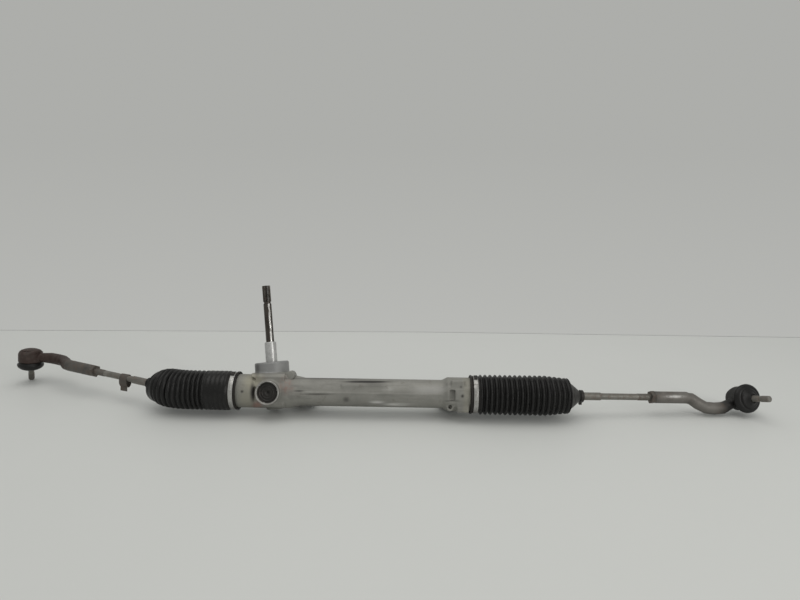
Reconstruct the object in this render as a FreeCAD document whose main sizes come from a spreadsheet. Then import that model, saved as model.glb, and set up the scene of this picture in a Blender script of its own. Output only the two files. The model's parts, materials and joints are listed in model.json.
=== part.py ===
import FreeCAD, Part
import math
import os
import re

import Sketcher

# Manual rack and pinion steering gear, lying on a table as found.
# Housing directions: X along the rack (right), Y to the back, Z up the pinion side, origin where the pinion
# crosses the rack. The housing is rolled back about the rack, so the pinion leans away from the viewer.
# Rod directions: Z along the tie rod, outboard. Socket directions: Z along the stud, out of the socket.

SIZES = {
    # Where the gear lies
    "rack_x": -157.0,
    "rack_y": -48.0,
    "rack_height": 39.3,
    "roll_back": 18.0,
    # Rack and pinion
    "rack_r": 12.5,
    "rack_tip_height": 8.5,
    "gear_module": 2.0,
    "pinion_teeth": 7.0,
    "pressure_angle": 20.0,
    "profile_shift": 0.6,
    "pinion_tip_r": 9.6,
    "pinion_tilt": 6.0,
    "tooth_backlash": 0.12,
    "root_clearance": 0.5,
    "teeth_left": 72.0,
    "teeth_right": 92.0,
    "left_ball_x": 156.8,
    "right_ball_x": 449.1,
    # Pinion shaft, heights measured up the pinion from the rack axis
    "pinion_half_face": 15.0,
    "lower_journal_r": 6.0,
    "lower_journal_end": 27.0,
    "bearing_seat": 20.0,
    "bearing_width": 11.0,
    "bearing_bore_r": 7.5,
    "bearing_r": 17.5,
    "bearing_race": 2.9,
    "shaft_r": 6.7,
    "sleeve_seat_step": 0.3,
    "sleeve_r": 9.6,
    "sleeve_top": 81.5,
    "shaft_top": 177.0,
    "spline_length": 27.0,
    "spline_teeth": 36.0,
    "spline_depth": 0.55,
    "clamp_groove": 4.0,
    "clamp_groove_depth": 1.0,
    # Housing casting
    "housing_left": 84.0,
    "housing_right": 350.0,
    "seat_groove_depth": 1.5,
    "seat_groove_width": 15.0,
    "seat_groove_edge": 6.0,
    "gearbox_right": 38.0,
    "tube_start": 60.0,
    "tube_end": 280.0,
    "tube_flare": 9.0,
    "tube_r": 23.0,
    "tube_bore_r": 18.0,
    "end_bore_gap": 3.0,
    "end_bore_wall": 5.5,
    "end_bore_depth": 38.0,
    "tower_r": 28.3,
    "tower_top": 48.0,
    "tower_edge": 1.5,
    "cavity_r": 12.0,
    "lower_boss_r": 16.5,
    "lower_boss_bottom": 31.0,
    "lower_boss_taper": 3.5,
    "lower_bush_r": 9.0,
    "lower_cap_r": 11.0,
    "lower_cap_thickness": 2.0,
    "block_left": 30.0,
    "block_right": 27.0,
    "block_front": 23.0,
    "block_top": 30.0,
    "block_bottom": 25.0,
    "block_corner": 5.0,
    "yoke_r": 17.5,
    "yoke_wall": 2.6,
    "yoke_rim": 36.0,
    "yoke_pocket": 5.0,
    "yoke_length": 20.0,
    "pocket_x": 34.5,
    "pocket_width": 6.5,
    "pocket_top": 8.0,
    "pocket_height": 25.0,
    "pocket_depth": 6.5,
    "side_boss_x": 32.6,
    "side_boss_z": 21.0,
    "side_boss_r": 7.3,
    "side_boss_front": 19.0,
    "parting_rib": 0.7,
    "parting_rib_width": 1.6,
    "top_pad_x": 126.0,
    "top_pad_length": 70.0,
    "top_pad_width": 7.0,
    "top_pad_rise": 0.9,
    "end_pocket_x": 292.0,
    "end_pocket_width": 9.5,
    "end_pocket_height": 17.0,
    "end_pocket_depth": 7.0,
    "end_boss_x": 293.0,
    "end_boss_z": 19.0,
    "end_boss_r": 7.0,
    "end_boss_front": 21.0,
    "end_boss_hole_r": 3.4,
    "end_foot_x": 305.0,
    "end_foot_length": 19.0,
    "end_foot_bottom": 27.5,
    "end_foot_depth": 24.0,
    "end_pad_x": 295.0,
    "end_pad_length": 22.0,
    "end_pad_rise": 0.8,
    # Rubber bushed mounting lugs behind the housing
    "left_lug_x": 48.0,
    "right_lug_x": 296.0,
    "lug_back": 44.0,
    "lug_r": 22.0,
    "lug_half_height": 17.5,
    "lug_bore_r": 17.0,
    "lug_web_half_width": 13.0,
    "lug_web_half_height": 9.0,
    "bush_sleeve_r": 8.5,
    "bush_bolt_r": 6.1,
    "bush_sleeve_half_height": 18.5,
    "bush_rubber_relief": 2.0,
    # Yoke parts and small seats
    "spring_height": 2.6,
    "spring_thickness": 1.2,
    "plug_thickness": 5.0,
    "plug_dish": 1.6,
    "retainer_width": 6.0,
    "retainer_bore_r": 12.5,
    "seal_top": 46.5,
    "seal_width": 7.0,
    "rack_bush_x": 290.0,
    "rack_bush_length": 20.0,
    # Fits
    "press_gap": 0.05,
    "running_gap": 0.3,
    "shaft_gap": 0.05,
    # Bellows
    "boot_fold": 5.3,
    "boot_narrowing": 4.8,
    "boot_wall": 2.0,
    "cuff_wall": 3.9,
    "boot_cone": 20.0,
    "boot_shoulder": 3.0,
    "boot_neck": 7.0,
    "boot_neck_wall": 2.2,
    "left_neck_end": 62.0,
    "right_neck_end": 65.0,
    "band_width": 9.0,
    "band_thickness": 1.1,
    "band_ear_width": 12.0,
    "band_ear_height": 2.4,
    "small_band_width": 4.4,
    # Inner ball joints and tie rods
    "ball_r": 13.5,
    "ball_back": 13.2,
    "seat_pad_r": 4.0,
    "seat_pad_thickness": 1.0,
    "seat_ring_inner": 50.0,
    "seat_ring_outer": 60.0,
    "seat_ring_thickness": 1.4,
    "socket_clearance": 0.7,
    "inner_socket_back": 27.0,
    "inner_socket_lip": 5.0,
    "inner_socket_lip_width": 3.5,
    "inner_socket_wall": 3.4,
    "inner_thread_r": 7.0,
    "inner_thread_length": 20.0,
    "wrench_flats": 34.0,
    "wrench_flat_length": 9.0,
    "rod_neck_r": 5.2,
    "rod_thick_r": 6.4,
    "rod_thin_r": 5.3,
    "rod_thick_end": 94.0,
    "rod_thread_end_back": 117.0,
    "rod_length": 339.0,
    "left_swing": 20.0,
    "left_lift": 2.0,
    "right_swing": 5.7,
    "right_lift": -2.2,
    # Outer ends
    "barrel_start_back": 153.0,
    "barrel_end_back": 93.0,
    "barrel_r": 9.8,
    "barrel_bore_depth": 40.0,
    "lock_nut_flats": 19.0,
    "lock_nut_width": 6.0,
    "gooseneck_drop": 17.2,
    "gooseneck_start_back": 63.0,
    "gooseneck_end_back": 33.0,
    "gooseneck_r": 9.9,
    "head_r": 19.0,
    "head_back": 15.5,
    "head_front": 12.0,
    "head_collar_r": 17.0,
    "head_collar": 3.4,
    "head_edge": 2.5,
    "stud_ball_r": 11.0,
    "stud_ball_back": 10.7,
    "stud_lip": 5.0,
    "stud_neck_r": 4.8,
    "stud_taper_start": 18.0,
    "stud_taper_r": 6.0,
    "stud_taper_end": 34.0,
    "stud_taper_end_r": 5.1,
    "stud_groove_end": 38.0,
    "stud_groove_r": 4.2,
    "stud_thread_r": 4.9,
    "stud_length": 54.0,
    "stud_tip_edge": 1.0,
    "head_cap_thickness": 2.0,
    "left_roll": 188.0,
    "right_roll": -112.0,
    "left_stud_out": 20.0,
    "left_stud_side": 18.0,
    "right_stud_out": 17.0,
    "right_stud_side": 0.0,
    "dust_boot_r": 24.6,
    "dust_boot_lip_r": 8.0,
    "dust_boot_wall": 1.8,
    # The small clip that has slipped off the left boot
    "loose_clip_at": 113.0,
    "loose_clip_r": 11.0,
    "loose_clip_width": 9.0,
    "loose_clip_thickness": 1.0,
    "loose_clip_ear": 9.0,
}

# Sizes that follow from others: bores round sockets, seats round bores, boots round seats,
# and places on the outer end measured back from its ball
WORKED_OUT = {
    "inner_socket_r": "=ball_r + seat_ring_thickness + socket_clearance + inner_socket_wall",
    "end_bore_r": "=inner_socket_r + end_bore_gap",
    "seat_r": "=end_bore_r + end_bore_wall",
    "boot_r": "=seat_r + boot_fold",
    "boot_small_r": "=boot_r - boot_narrowing",
    "rod_thread_end": "=rod_length - rod_thread_end_back",
    "barrel_start": "=rod_length - barrel_start_back",
    "barrel_end": "=rod_length - barrel_end_back",
    "gooseneck_start": "=rod_length - gooseneck_start_back",
    "gooseneck_end": "=rod_length - gooseneck_end_back",
}
CELLS = {**SIZES, **WORKED_OUT}

doc = FreeCAD.newDocument("steering_rack")
sheet = doc.addObject("Spreadsheet::Sheet", "dims")
for row, (alias, content) in enumerate(CELLS.items(), start=1):
    sheet.set(f"A{row}", alias)
    sheet.set(f"B{row}", str(content))
    sheet.setAlias(f"B{row}", alias)
doc.recompute()

sub_parts = []


def named(expression):
    """An expression in sheet words, as the document reads it."""
    def cell(found):
        word = found.group(0)
        return f"dims.{word}" if word in CELLS else word
    return re.sub(r"\b[a-z][a-z0-9_]*\b", cell, expression)


def value(expression):
    return float(sheet.evalExpression(named(expression)))


def bind(thing, prop, expression):
    thing.setExpression(prop, named(expression))


def at(frame="", x="0", y="0", z="0", axis=(0, 1, 0), angle="0"):
    """A place expression: a move and then a turn, inside a frame."""
    turn = "rotation(vector({}; {}; {}); {})".format(*axis, angle)
    local = f"placement(vector({x}; {y}; {z}); {turn})"
    return f"{frame}.Placement * {local}" if frame else local


def frame(name, expression):
    thing = doc.addObject("App::Placement", name)
    bind(thing, "Placement", expression)


def cylinder(name, radius, height, place=None):
    thing = doc.addObject("Part::Cylinder", name)
    bind(thing, "Radius", radius)
    bind(thing, "Height", height)
    if place:
        bind(thing, "Placement", place)
    return thing


def cone(name, radius_1, radius_2, height, place=None):
    thing = doc.addObject("Part::Cone", name)
    bind(thing, "Radius1", radius_1)
    bind(thing, "Radius2", radius_2)
    bind(thing, "Height", height)
    if place:
        bind(thing, "Placement", place)
    return thing


def box(name, length, width, height, place):
    thing = doc.addObject("Part::Box", name)
    bind(thing, "Length", length)
    bind(thing, "Width", width)
    bind(thing, "Height", height)
    bind(thing, "Placement", place)
    return thing


def fused(name, pieces):
    """Joins the pieces one after another."""
    whole = pieces[0]
    for k, piece in enumerate(pieces[1:], start=1):
        join = doc.addObject("Part::Fuse", name if k == len(pieces) - 1 else f"{name}_with_{k}")
        join.Base = whole
        join.Tool = piece
        whole = join
    return whole


def without(name, base, tools):
    """Takes the tools away from the base one after another."""
    for k, tool in enumerate(tools, start=1):
        cut = doc.addObject("Part::Cut", name if k == len(tools) else f"{name}_less_{k}")
        cut.Base = base
        cut.Tool = tool
        base = cut
    return base


def origin_plane(body, role):
    return next(o for o in body.Origin.OriginFeatures if o.Role == role)


def outline_sketch(body, name, outline, role="XZ_Plane"):
    """A closed polygon whose corners are bound to the sheet."""
    sketch = body.newObject("Sketcher::SketchObject", name)
    sketch.AttachmentSupport = [(origin_plane(body, role), "")]
    sketch.MapMode = "FlatFace"
    corners = [(value(x), value(y)) for x, y in outline]
    for k, corner in enumerate(corners):
        end = corners[(k + 1) % len(corners)]
        sketch.addGeometry(Part.LineSegment(FreeCAD.Vector(*corner, 0), FreeCAD.Vector(*end, 0)), False)
    for k in range(len(corners)):
        sketch.addConstraint(Sketcher.Constraint("Coincident", k, 2, (k + 1) % len(corners), 1))
    for k, (x, y) in enumerate(outline):
        for kind, expression, number in (("DistanceX", x, corners[k][0]), ("DistanceY", y, corners[k][1])):
            index = sketch.addConstraint(Sketcher.Constraint(kind, -1, 1, k, 1, number))
            sketch.setExpression(f"Constraints[{index}]", named(expression))
    return sketch


def turned(name, outline):
    """A body turned about its Z axis from (radius, height) corners."""
    body = doc.addObject("PartDesign::Body", name)
    sketch = outline_sketch(body, name + "_outline", outline)
    turn = body.newObject("PartDesign::Revolution", name + "_turn")
    turn.Profile = sketch
    turn.ReferenceAxis = (sketch, ["V_Axis"])
    turn.Angle = 360
    sketch.Visibility = False
    return body


def ring_outline(inner, outer, low, high, edge="0"):
    if edge == "0":
        return [(inner, low), (outer, low), (outer, high), (inner, high)]
    return [
        (inner, low),
        (f"{outer} - {edge}", low),
        (outer, f"{low} + {edge}"),
        (outer, f"{high} - {edge}"),
        (f"{outer} - {edge}", high),
        (inner, high),
    ]


def keep(thing, label, place):
    """Names a finished sub-part and puts it in its place."""
    thing.Label = label
    bind(thing, "Placement", place)
    sub_parts.append(thing)
    return thing


def ball_corners(radius, first, last, steps):
    """Corners on a ball's outline between two angles from its back, as a lathe would cut it."""
    angles = [f"({first} + ({last} - {first}) * {k} / {steps})" for k in range(steps + 1)]
    return [(f"{radius} * sin({a})", f"-{radius} * cos({a})") for a in angles]


def relative(inner, outer):
    """The outer frame's place as seen from the inner one."""
    return f"minvert({inner}.Placement) * {outer}.Placement"


# Frames: everything hangs on these, so a changed angle or length carries the parts with it
PITCH_R = "(gear_module * pinion_teeth / 2)"
PINION_BACK = f"(rack_tip_height + {PITCH_R} + (profile_shift - 1) * gear_module)"
frame("housing_frame", at("", "rack_x", "rack_y", "rack_height", (1, 0, 0), "-roll_back"))
frame("pinion_frame", at("housing_frame", "0", PINION_BACK, "0", (0, 1, 0), "-pinion_tilt"))
frame("yoke_frame", at("housing_frame", axis=(1, 0, 0), angle="90"))
frame("rack_line", at("housing_frame", angle="90"))


class Side:
    """One end of the gear. Its words pick the left or right cells of the sheet."""

    def __init__(self, name):
        self.name = name
        self.sign = -1 if name == "left" else 1
        self.ball_x = "-left_ball_x" if name == "left" else "right_ball_x"
        self.quarter = "-90" if name == "left" else "90"
        frame(f"{name}_socket_line", at("housing_frame", self.ball_x, angle=self.quarter))
        swing = f"{self.sign} * {name}_swing"
        ball = f"rack_x + {self.ball_x}"
        frame(f"{name}_swing_frame", at("", ball, "rack_y", "rack_height", (0, 0, 1), swing))
        lean = f"{self.sign} * (90 - {name}_lift)"
        frame(f"{name}_rod_frame", at(f"{name}_swing_frame", angle=lean))
        frame(f"{name}_end_frame", at(f"{name}_rod_frame", axis=(0, 0, 1), angle=f"{name}_roll"))
        frame(f"{name}_stud_socket", at(f"{name}_end_frame", z="rod_length", angle="90"))
        frame(f"{name}_stud_tilt", at(f"{name}_stud_socket", angle=f"-{name}_stud_out"))
        frame(f"{name}_stud_frame", at(f"{name}_stud_tilt", axis=(1, 0, 0), angle=f"{name}_stud_side"))

    def frame(self, word):
        return f"{self.name}_{word}"


LEFT = Side("left")
RIGHT = Side("right")
doc.recompute()


# Housing casting

SEAT_LOW = "seat_groove_edge"
SEAT_HIGH = "(seat_groove_edge + seat_groove_width)"
GROOVE_R = "(seat_r - seat_groove_depth)"


def housing_skin():
    """The casting's outside along the rack: boot seats, gearbox and tube."""
    left = "-housing_left"
    right = "housing_right"
    return turned("housing_skin", [
        ("0", left),
        (GROOVE_R, left),
        ("seat_r", f"{left} + seat_groove_depth"),
        ("seat_r", f"{left} + {SEAT_LOW} - seat_groove_depth"),
        (GROOVE_R, f"{left} + {SEAT_LOW}"),
        (GROOVE_R, f"{left} + {SEAT_HIGH}"),
        ("seat_r", f"{left} + {SEAT_HIGH} + seat_groove_depth"),
        ("seat_r", "gearbox_right"),
        ("tube_r", "tube_start"),
        ("tube_r", "tube_end"),
        ("seat_r", "tube_end + tube_flare"),
        ("seat_r", f"{right} - {SEAT_HIGH} - seat_groove_depth"),
        (GROOVE_R, f"{right} - {SEAT_HIGH}"),
        (GROOVE_R, f"{right} - {SEAT_LOW}"),
        ("seat_r", f"{right} - {SEAT_LOW} + seat_groove_depth"),
        ("seat_r", f"{right} - seat_groove_depth"),
        (GROOVE_R, right),
        ("0", right),
    ])


def housing_bore():
    """The way through for the rack, wider at both ends for the ball joint sockets."""
    over = "(housing_right + 5)"
    left_step = "(-housing_left + end_bore_depth)"
    right_step = "(housing_right - end_bore_depth)"
    return turned("housing_bore", [
        ("0", f"-{over}"),
        ("end_bore_r", f"-{over}"),
        ("end_bore_r", left_step),
        ("tube_bore_r", left_step),
        ("tube_bore_r", right_step),
        ("end_bore_r", right_step),
        ("end_bore_r", over),
        ("0", over),
    ])


IN_PINION = at("", "0", PINION_BACK, "0", (0, 1, 0), "-pinion_tilt")


def to_front(x, z):
    """Directions for a cylinder that grows towards the front of the housing."""
    return at("", x, "0", z, (1, 0, 0), "90")


def gearbox_block():
    """The flat sided casting round pinion and yoke, with cut corners."""
    body = doc.addObject("PartDesign::Body", "gearbox_block")
    front = "-block_front"
    back = f"{PINION_BACK}"
    outline = [
        (f"{front} + block_corner", "-block_bottom"),
        (back, "-block_bottom"),
        (back, "block_top"),
        (f"{front} + block_corner", "block_top"),
        (front, "block_top - block_corner"),
        (front, "-block_bottom + block_corner"),
    ]
    sketch = outline_sketch(body, "gearbox_block_outline", outline, "YZ_Plane")
    bind(sketch, "AttachmentOffset", at("", "0", "0", "-block_left"))
    pad = body.newObject("PartDesign::Pad", "gearbox_block_pad")
    pad.Profile = sketch
    bind(pad, "Length", "block_left + block_right")
    return body


def rack_housing():
    along = at("", angle="90")
    skin = housing_skin()
    bind(skin, "Placement", along)
    bore = housing_bore()
    bind(bore, "Placement", along)
    tower = turned("tower_skin", [
        ("0", "0"),
        ("tower_r", "0"),
        ("tower_r", "tower_top - tower_edge"),
        ("tower_r - tower_edge", "tower_top"),
        ("0", "tower_top"),
    ])
    bind(tower, "Placement", IN_PINION)
    boss = turned("lower_boss", [
        ("0", "-lower_boss_bottom"),
        ("lower_boss_r - lower_boss_taper", "-lower_boss_bottom"),
        ("lower_boss_r", "-lower_boss_bottom + 2 * lower_boss_taper"),
        ("lower_boss_r", "0"),
        ("0", "0"),
    ])
    bind(boss, "Placement", IN_PINION)
    yoke_boss = turned("yoke_boss", [
        ("0", "0"),
        ("yoke_r + yoke_wall", "0"),
        ("yoke_r + yoke_wall", "yoke_rim - 1"),
        ("yoke_r + yoke_wall - 1", "yoke_rim"),
        ("0", "yoke_rim"),
    ])
    bind(yoke_boss, "Placement", at("", axis=(1, 0, 0), angle="90"))
    side_boss = cylinder("side_boss", "side_boss_r", "side_boss_front", to_front("side_boss_x", "side_boss_z"))
    end_boss = cylinder("end_boss", "end_boss_r", "end_boss_front", to_front("end_boss_x", "-end_boss_z"))
    foot = box("end_foot", "end_foot_length", "end_foot_depth", "end_foot_bottom - 8",
               at("", "end_foot_x", "-end_foot_depth", "-end_foot_bottom"))
    pad = box("end_pad", "end_pad_length", "seat_r * 0.75", "seat_r * 0.55",
              at("", "end_pad_x", "-(seat_r + end_pad_rise) * 0.88", "seat_r * 0.3"))
    top_pad = box("top_pad", "top_pad_length", "tube_r", "top_pad_width",
                  at("", "top_pad_x", "-tube_r * 0.92 - top_pad_rise", "tube_r * 0.32"))
    rib = box("parting_rib", "tube_end - tube_start + 20", "tube_r + parting_rib", "parting_rib_width",
              at("", "tube_start - 10", "-(tube_r + parting_rib)", "-parting_rib_width / 2"))
    pieces = [skin, tower, boss, yoke_boss, gearbox_block(), side_boss, end_boss, foot, pad, top_pad, rib]
    bores = [bore]
    for side in ("left", "right"):
        x = f"{side}_lug_x"
        lug_place = at("", x, "lug_back", "-lug_half_height")
        pieces.append(cylinder(f"{side}_lug", "lug_r", "2 * lug_half_height", lug_place))
        web_place = at("", f"{x} - lug_web_half_width", "tube_bore_r / 2", "-lug_web_half_height")
        pieces.append(box(f"{side}_lug_web", "2 * lug_web_half_width", "lug_back - tube_bore_r / 2",
                          "2 * lug_web_half_height", web_place))
        bore_place = at("", x, "lug_back", "-2 * lug_half_height")
        bores.append(cylinder(f"{side}_lug_bore", "lug_bore_r", "4 * lug_half_height", bore_place))
    pinion_bore = turned("pinion_bore", [
        ("0", "-lower_boss_bottom - 5"),
        ("lower_cap_r", "-lower_boss_bottom - 5"),
        ("lower_cap_r", "-lower_boss_bottom + lower_cap_thickness"),
        ("lower_bush_r", "-lower_boss_bottom + lower_cap_thickness"),
        ("lower_bush_r", "-pinion_half_face - 2"),
        ("cavity_r", "-pinion_half_face - 2"),
        ("cavity_r", "bearing_seat"),
        ("bearing_r", "bearing_seat"),
        ("bearing_r", "tower_top + 5"),
        ("0", "tower_top + 5"),
    ])
    bind(pinion_bore, "Placement", IN_PINION)
    yoke_bore = cylinder("yoke_bore", "yoke_r + running_gap / 3", "yoke_rim + 5", at("", axis=(1, 0, 0), angle="90"))
    pocket = box("gearbox_pocket", "pocket_width", "pocket_depth + 20", "pocket_height",
                 at("", "-pocket_x", "-seat_r - 20", "pocket_top - pocket_height"))
    end_pocket = box("end_pocket", "end_pocket_width", "end_pocket_depth + 20", "end_pocket_height",
                     at("", "end_pocket_x", "-seat_r - 20", "-end_pocket_height / 2"))
    boss_hole = cylinder("end_boss_hole", "end_boss_hole_r", "end_boss_r + 1",
                         at("", "end_boss_x", "-end_boss_front + end_boss_r", "-end_boss_z", (1, 0, 0), "90"))
    bores += [pinion_bore, yoke_bore, pocket, end_pocket, boss_hole]
    casting = fused("casting_skin", pieces)
    keep(without("rack_housing", casting, bores), "rack_housing", at("housing_frame"))


# Rack and pinion

PITCH = "(pi * gear_module)"
PITCH_X = f"({PITCH} / cos(pinion_tilt))"
TOOTH_DEPTH = "(2 * gear_module + root_clearance)"


def rack_bar():
    """The toothed bar. Its gaps run along the pinion, so they cross the bar at the pinion's tilt."""
    body = doc.addObject("PartDesign::Body", "rack_bar")
    sketch = body.newObject("Sketcher::SketchObject", "rack_section")
    sketch.AttachmentSupport = [(origin_plane(body, "YZ_Plane"), "")]
    sketch.MapMode = "FlatFace"
    bind(sketch, "AttachmentOffset", at("", "0", "0", "-left_ball_x + inner_socket_back"))
    sketch.addGeometry(Part.Circle(FreeCAD.Vector(0, 0, 0), FreeCAD.Vector(0, 0, 1), value("rack_r")), False)
    sketch.addConstraint(Sketcher.Constraint("Coincident", 0, 3, -1, 1))
    radius = sketch.addConstraint(Sketcher.Constraint("Radius", 0, value("rack_r")))
    sketch.setExpression(f"Constraints[{radius}]", named("rack_r"))
    pad = body.newObject("PartDesign::Pad", "rack_pad")
    pad.Profile = sketch
    bind(pad, "Length", "left_ball_x + right_ball_x - 2 * inner_socket_back")
    flat = outline_sketch(body, "rack_flat", [
        ("-teeth_left", "rack_tip_height"),
        ("teeth_right", "rack_tip_height"),
        ("teeth_right", "rack_r + 1"),
        ("-teeth_left", "rack_r + 1"),
    ], "XY_Plane")
    both_ways(body, "rack_flat_cut", flat, "4 * rack_r")
    half_tip = f"(({PITCH} / 2 + tooth_backlash) / 2 + gear_module * tan(pressure_angle))"
    half_root = f"({half_tip} - {TOOTH_DEPTH} * tan(pressure_angle))"
    half_out = f"({half_tip} + tan(pressure_angle))"
    first = f"-floor((teeth_left - {PITCH}) / {PITCH_X}) * {PITCH}"
    gap = outline_sketch(body, "rack_gap", [
        (f"{first} - {half_root}", f"rack_tip_height - {TOOTH_DEPTH}"),
        (f"{first} + {half_root}", f"rack_tip_height - {TOOTH_DEPTH}"),
        (f"{first} + {half_out}", "rack_tip_height + 1"),
        (f"{first} - {half_out}", "rack_tip_height + 1"),
    ], "XY_Plane")
    bind(gap, "AttachmentOffset", at("", angle="-pinion_tilt"))
    cut = both_ways(body, "rack_gap_cut", gap, "4 * rack_r")
    pattern = body.newObject("PartDesign::LinearPattern", "rack_teeth")
    pattern.Originals = [cut]
    pattern.Direction = (origin_plane(body, "X_Axis"), [""])
    count = f"(floor((teeth_left - {PITCH}) / {PITCH_X}) + floor((teeth_right - {PITCH}) / {PITCH_X}) + 1)"
    bind(pattern, "Length", f"({count} - 1) * {PITCH_X}")
    bind(pattern, "Occurrences", count)
    body.Tip = pattern
    for end, x in (("left", "-left_ball_x + inner_socket_back"), ("right", "right_ball_x - inner_socket_back")):
        hole = outline_sketch(body, f"rack_{end}_thread", end_hole(end, x), "XY_Plane")
        groove = body.newObject("PartDesign::Groove", f"rack_{end}_tapping")
        groove.Profile = hole
        groove.ReferenceAxis = (hole, ["H_Axis"])
        groove.Angle = 360
    keep(body, "rack_bar", at("housing_frame"))


def end_hole(end, x):
    """Half outline of the tapped hole that takes an inner socket's stud."""
    inward = "+" if end == "left" else "-"
    deep = f"{x} {inward} (inner_thread_length + 1)"
    return [(x, "0"), (deep, "0"), (deep, "inner_thread_r + press_gap"), (x, "inner_thread_r + press_gap")]


def both_ways(body, name, sketch, length):
    cut = body.newObject("PartDesign::Pocket", name)
    cut.Profile = sketch
    cut.Midplane = True
    bind(cut, "Length", length)
    return cut


def plain_solid(name, shape):
    """A solid whose outline is worked out point by point, which no sketch shape fits."""
    thing = doc.addObject("Part::Feature", name)
    thing.Shape = shape
    return thing


def involute(angle):
    return math.tan(angle) - angle


def pinion_teeth():
    """Seven involute teeth with one of them facing the rack."""
    module = value("gear_module")
    pitch_r = value(PITCH_R)
    press = math.radians(value("pressure_angle"))
    shift = value("profile_shift")
    tip_r = value("pinion_tip_r")
    root_r = value(f"{PITCH_R} + (profile_shift - 1) * gear_module - root_clearance")
    base_r = pitch_r * math.cos(press)
    thickness = module * (math.pi / 2 + 2 * shift * math.tan(press))
    half_pitch_angle = thickness / (2 * pitch_r) + involute(press)
    count = int(value("pinion_teeth"))
    flank_steps = 6

    def point(radius, angle):
        return FreeCAD.Vector(radius * math.cos(angle), radius * math.sin(angle), 0)

    edges = []
    for tooth in range(count):
        middle = -math.pi / 2 + 2 * math.pi * tooth / count
        radii = [base_r + (tip_r - base_r) * (k / flank_steps) ** 1.5 for k in range(flank_steps + 1)]
        half = [half_pitch_angle - involute(math.acos(min(1, base_r / r))) for r in radii]
        rising = [point(r, middle - a) for r, a in zip(radii, half)]
        falling = [point(r, middle + a) for r, a in zip(radii, half)][::-1]
        foot_in = point(root_r, middle - half[0])
        foot_out = point(root_r, middle + half[0])
        next_middle = middle + 2 * math.pi / count
        next_foot = point(root_r, next_middle - half[0])
        valley = point(root_r, middle + math.pi / count)
        edges.append(Part.makeLine(foot_in, rising[0]))
        for points in (rising, falling):
            flank = Part.BSplineCurve()
            flank.interpolate(points)
            edges.append(flank.toShape())
            if points is rising:
                edges.append(Part.Arc(rising[-1], point(tip_r, middle), falling[0]).toShape())
        edges.append(Part.makeLine(falling[-1], foot_out))
        edges.append(Part.Arc(foot_out, valley, next_foot).toShape())
    face = Part.Face(Part.Wire(edges))
    half_face = value("pinion_half_face")
    gear = face.extrude(FreeCAD.Vector(0, 0, 2 * half_face))
    gear.translate(FreeCAD.Vector(0, 0, -half_face))
    return plain_solid("pinion_gear", gear)


def spline_core():
    """The serrated top of the shaft."""
    outer = value("shaft_r")
    inner = value("shaft_r - spline_depth")
    count = int(value("spline_teeth"))
    points = []
    for k in range(2 * count + 1):
        radius = outer if k % 2 == 0 else inner
        angle = math.pi * k / count
        points.append(FreeCAD.Vector(radius * math.cos(angle), radius * math.sin(angle), 0))
    top = value("shaft_top")
    length = value("spline_length")
    core = Part.Face(Part.makePolygon(points)).extrude(FreeCAD.Vector(0, 0, length))
    core.translate(FreeCAD.Vector(0, 0, top - length))
    return plain_solid("spline_core", core)


def pinion_shaft():
    """Lower journal, teeth, bearing seat and the long input shaft."""
    groove_top = "(shaft_top - spline_length)"
    shaft = turned("pinion_turning", [
        ("0", "-lower_journal_end"),
        ("lower_journal_r - 0.8", "-lower_journal_end"),
        ("lower_journal_r", "-lower_journal_end + 0.8"),
        ("lower_journal_r", "-pinion_half_face"),
        (f"{PITCH_R} + (profile_shift - 1) * gear_module - root_clearance", "-pinion_half_face"),
        (f"{PITCH_R} + (profile_shift - 1) * gear_module - root_clearance", "pinion_half_face"),
        ("pinion_tip_r", "pinion_half_face"),
        ("pinion_tip_r", "bearing_seat"),
        ("bearing_bore_r", "bearing_seat"),
        ("bearing_bore_r", "bearing_seat + bearing_width"),
        ("shaft_r + sleeve_seat_step", "bearing_seat + bearing_width"),
        ("shaft_r + sleeve_seat_step", "sleeve_top"),
        ("shaft_r", "sleeve_top"),
        ("shaft_r", f"{groove_top} - clamp_groove"),
        ("shaft_r - clamp_groove_depth", f"{groove_top} - clamp_groove + clamp_groove_depth"),
        ("shaft_r - clamp_groove_depth", groove_top),
        ("0", groove_top),
    ])
    keep(fused("pinion_shaft", [shaft, pinion_teeth(), spline_core()]), "pinion_shaft", at("pinion_frame"))
    sleeve_bore = "shaft_r + sleeve_seat_step + press_gap"
    sleeve_body = turned("pinion_sleeve", [
        (sleeve_bore, "bearing_seat + bearing_width"),
        ("sleeve_r", "bearing_seat + bearing_width"),
        ("sleeve_r", "sleeve_top - 1"),
        ("sleeve_r - 1", "sleeve_top"),
        (sleeve_bore, "sleeve_top"),
    ])
    keep(sleeve_body, "pinion_sleeve", at("pinion_frame"))


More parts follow.
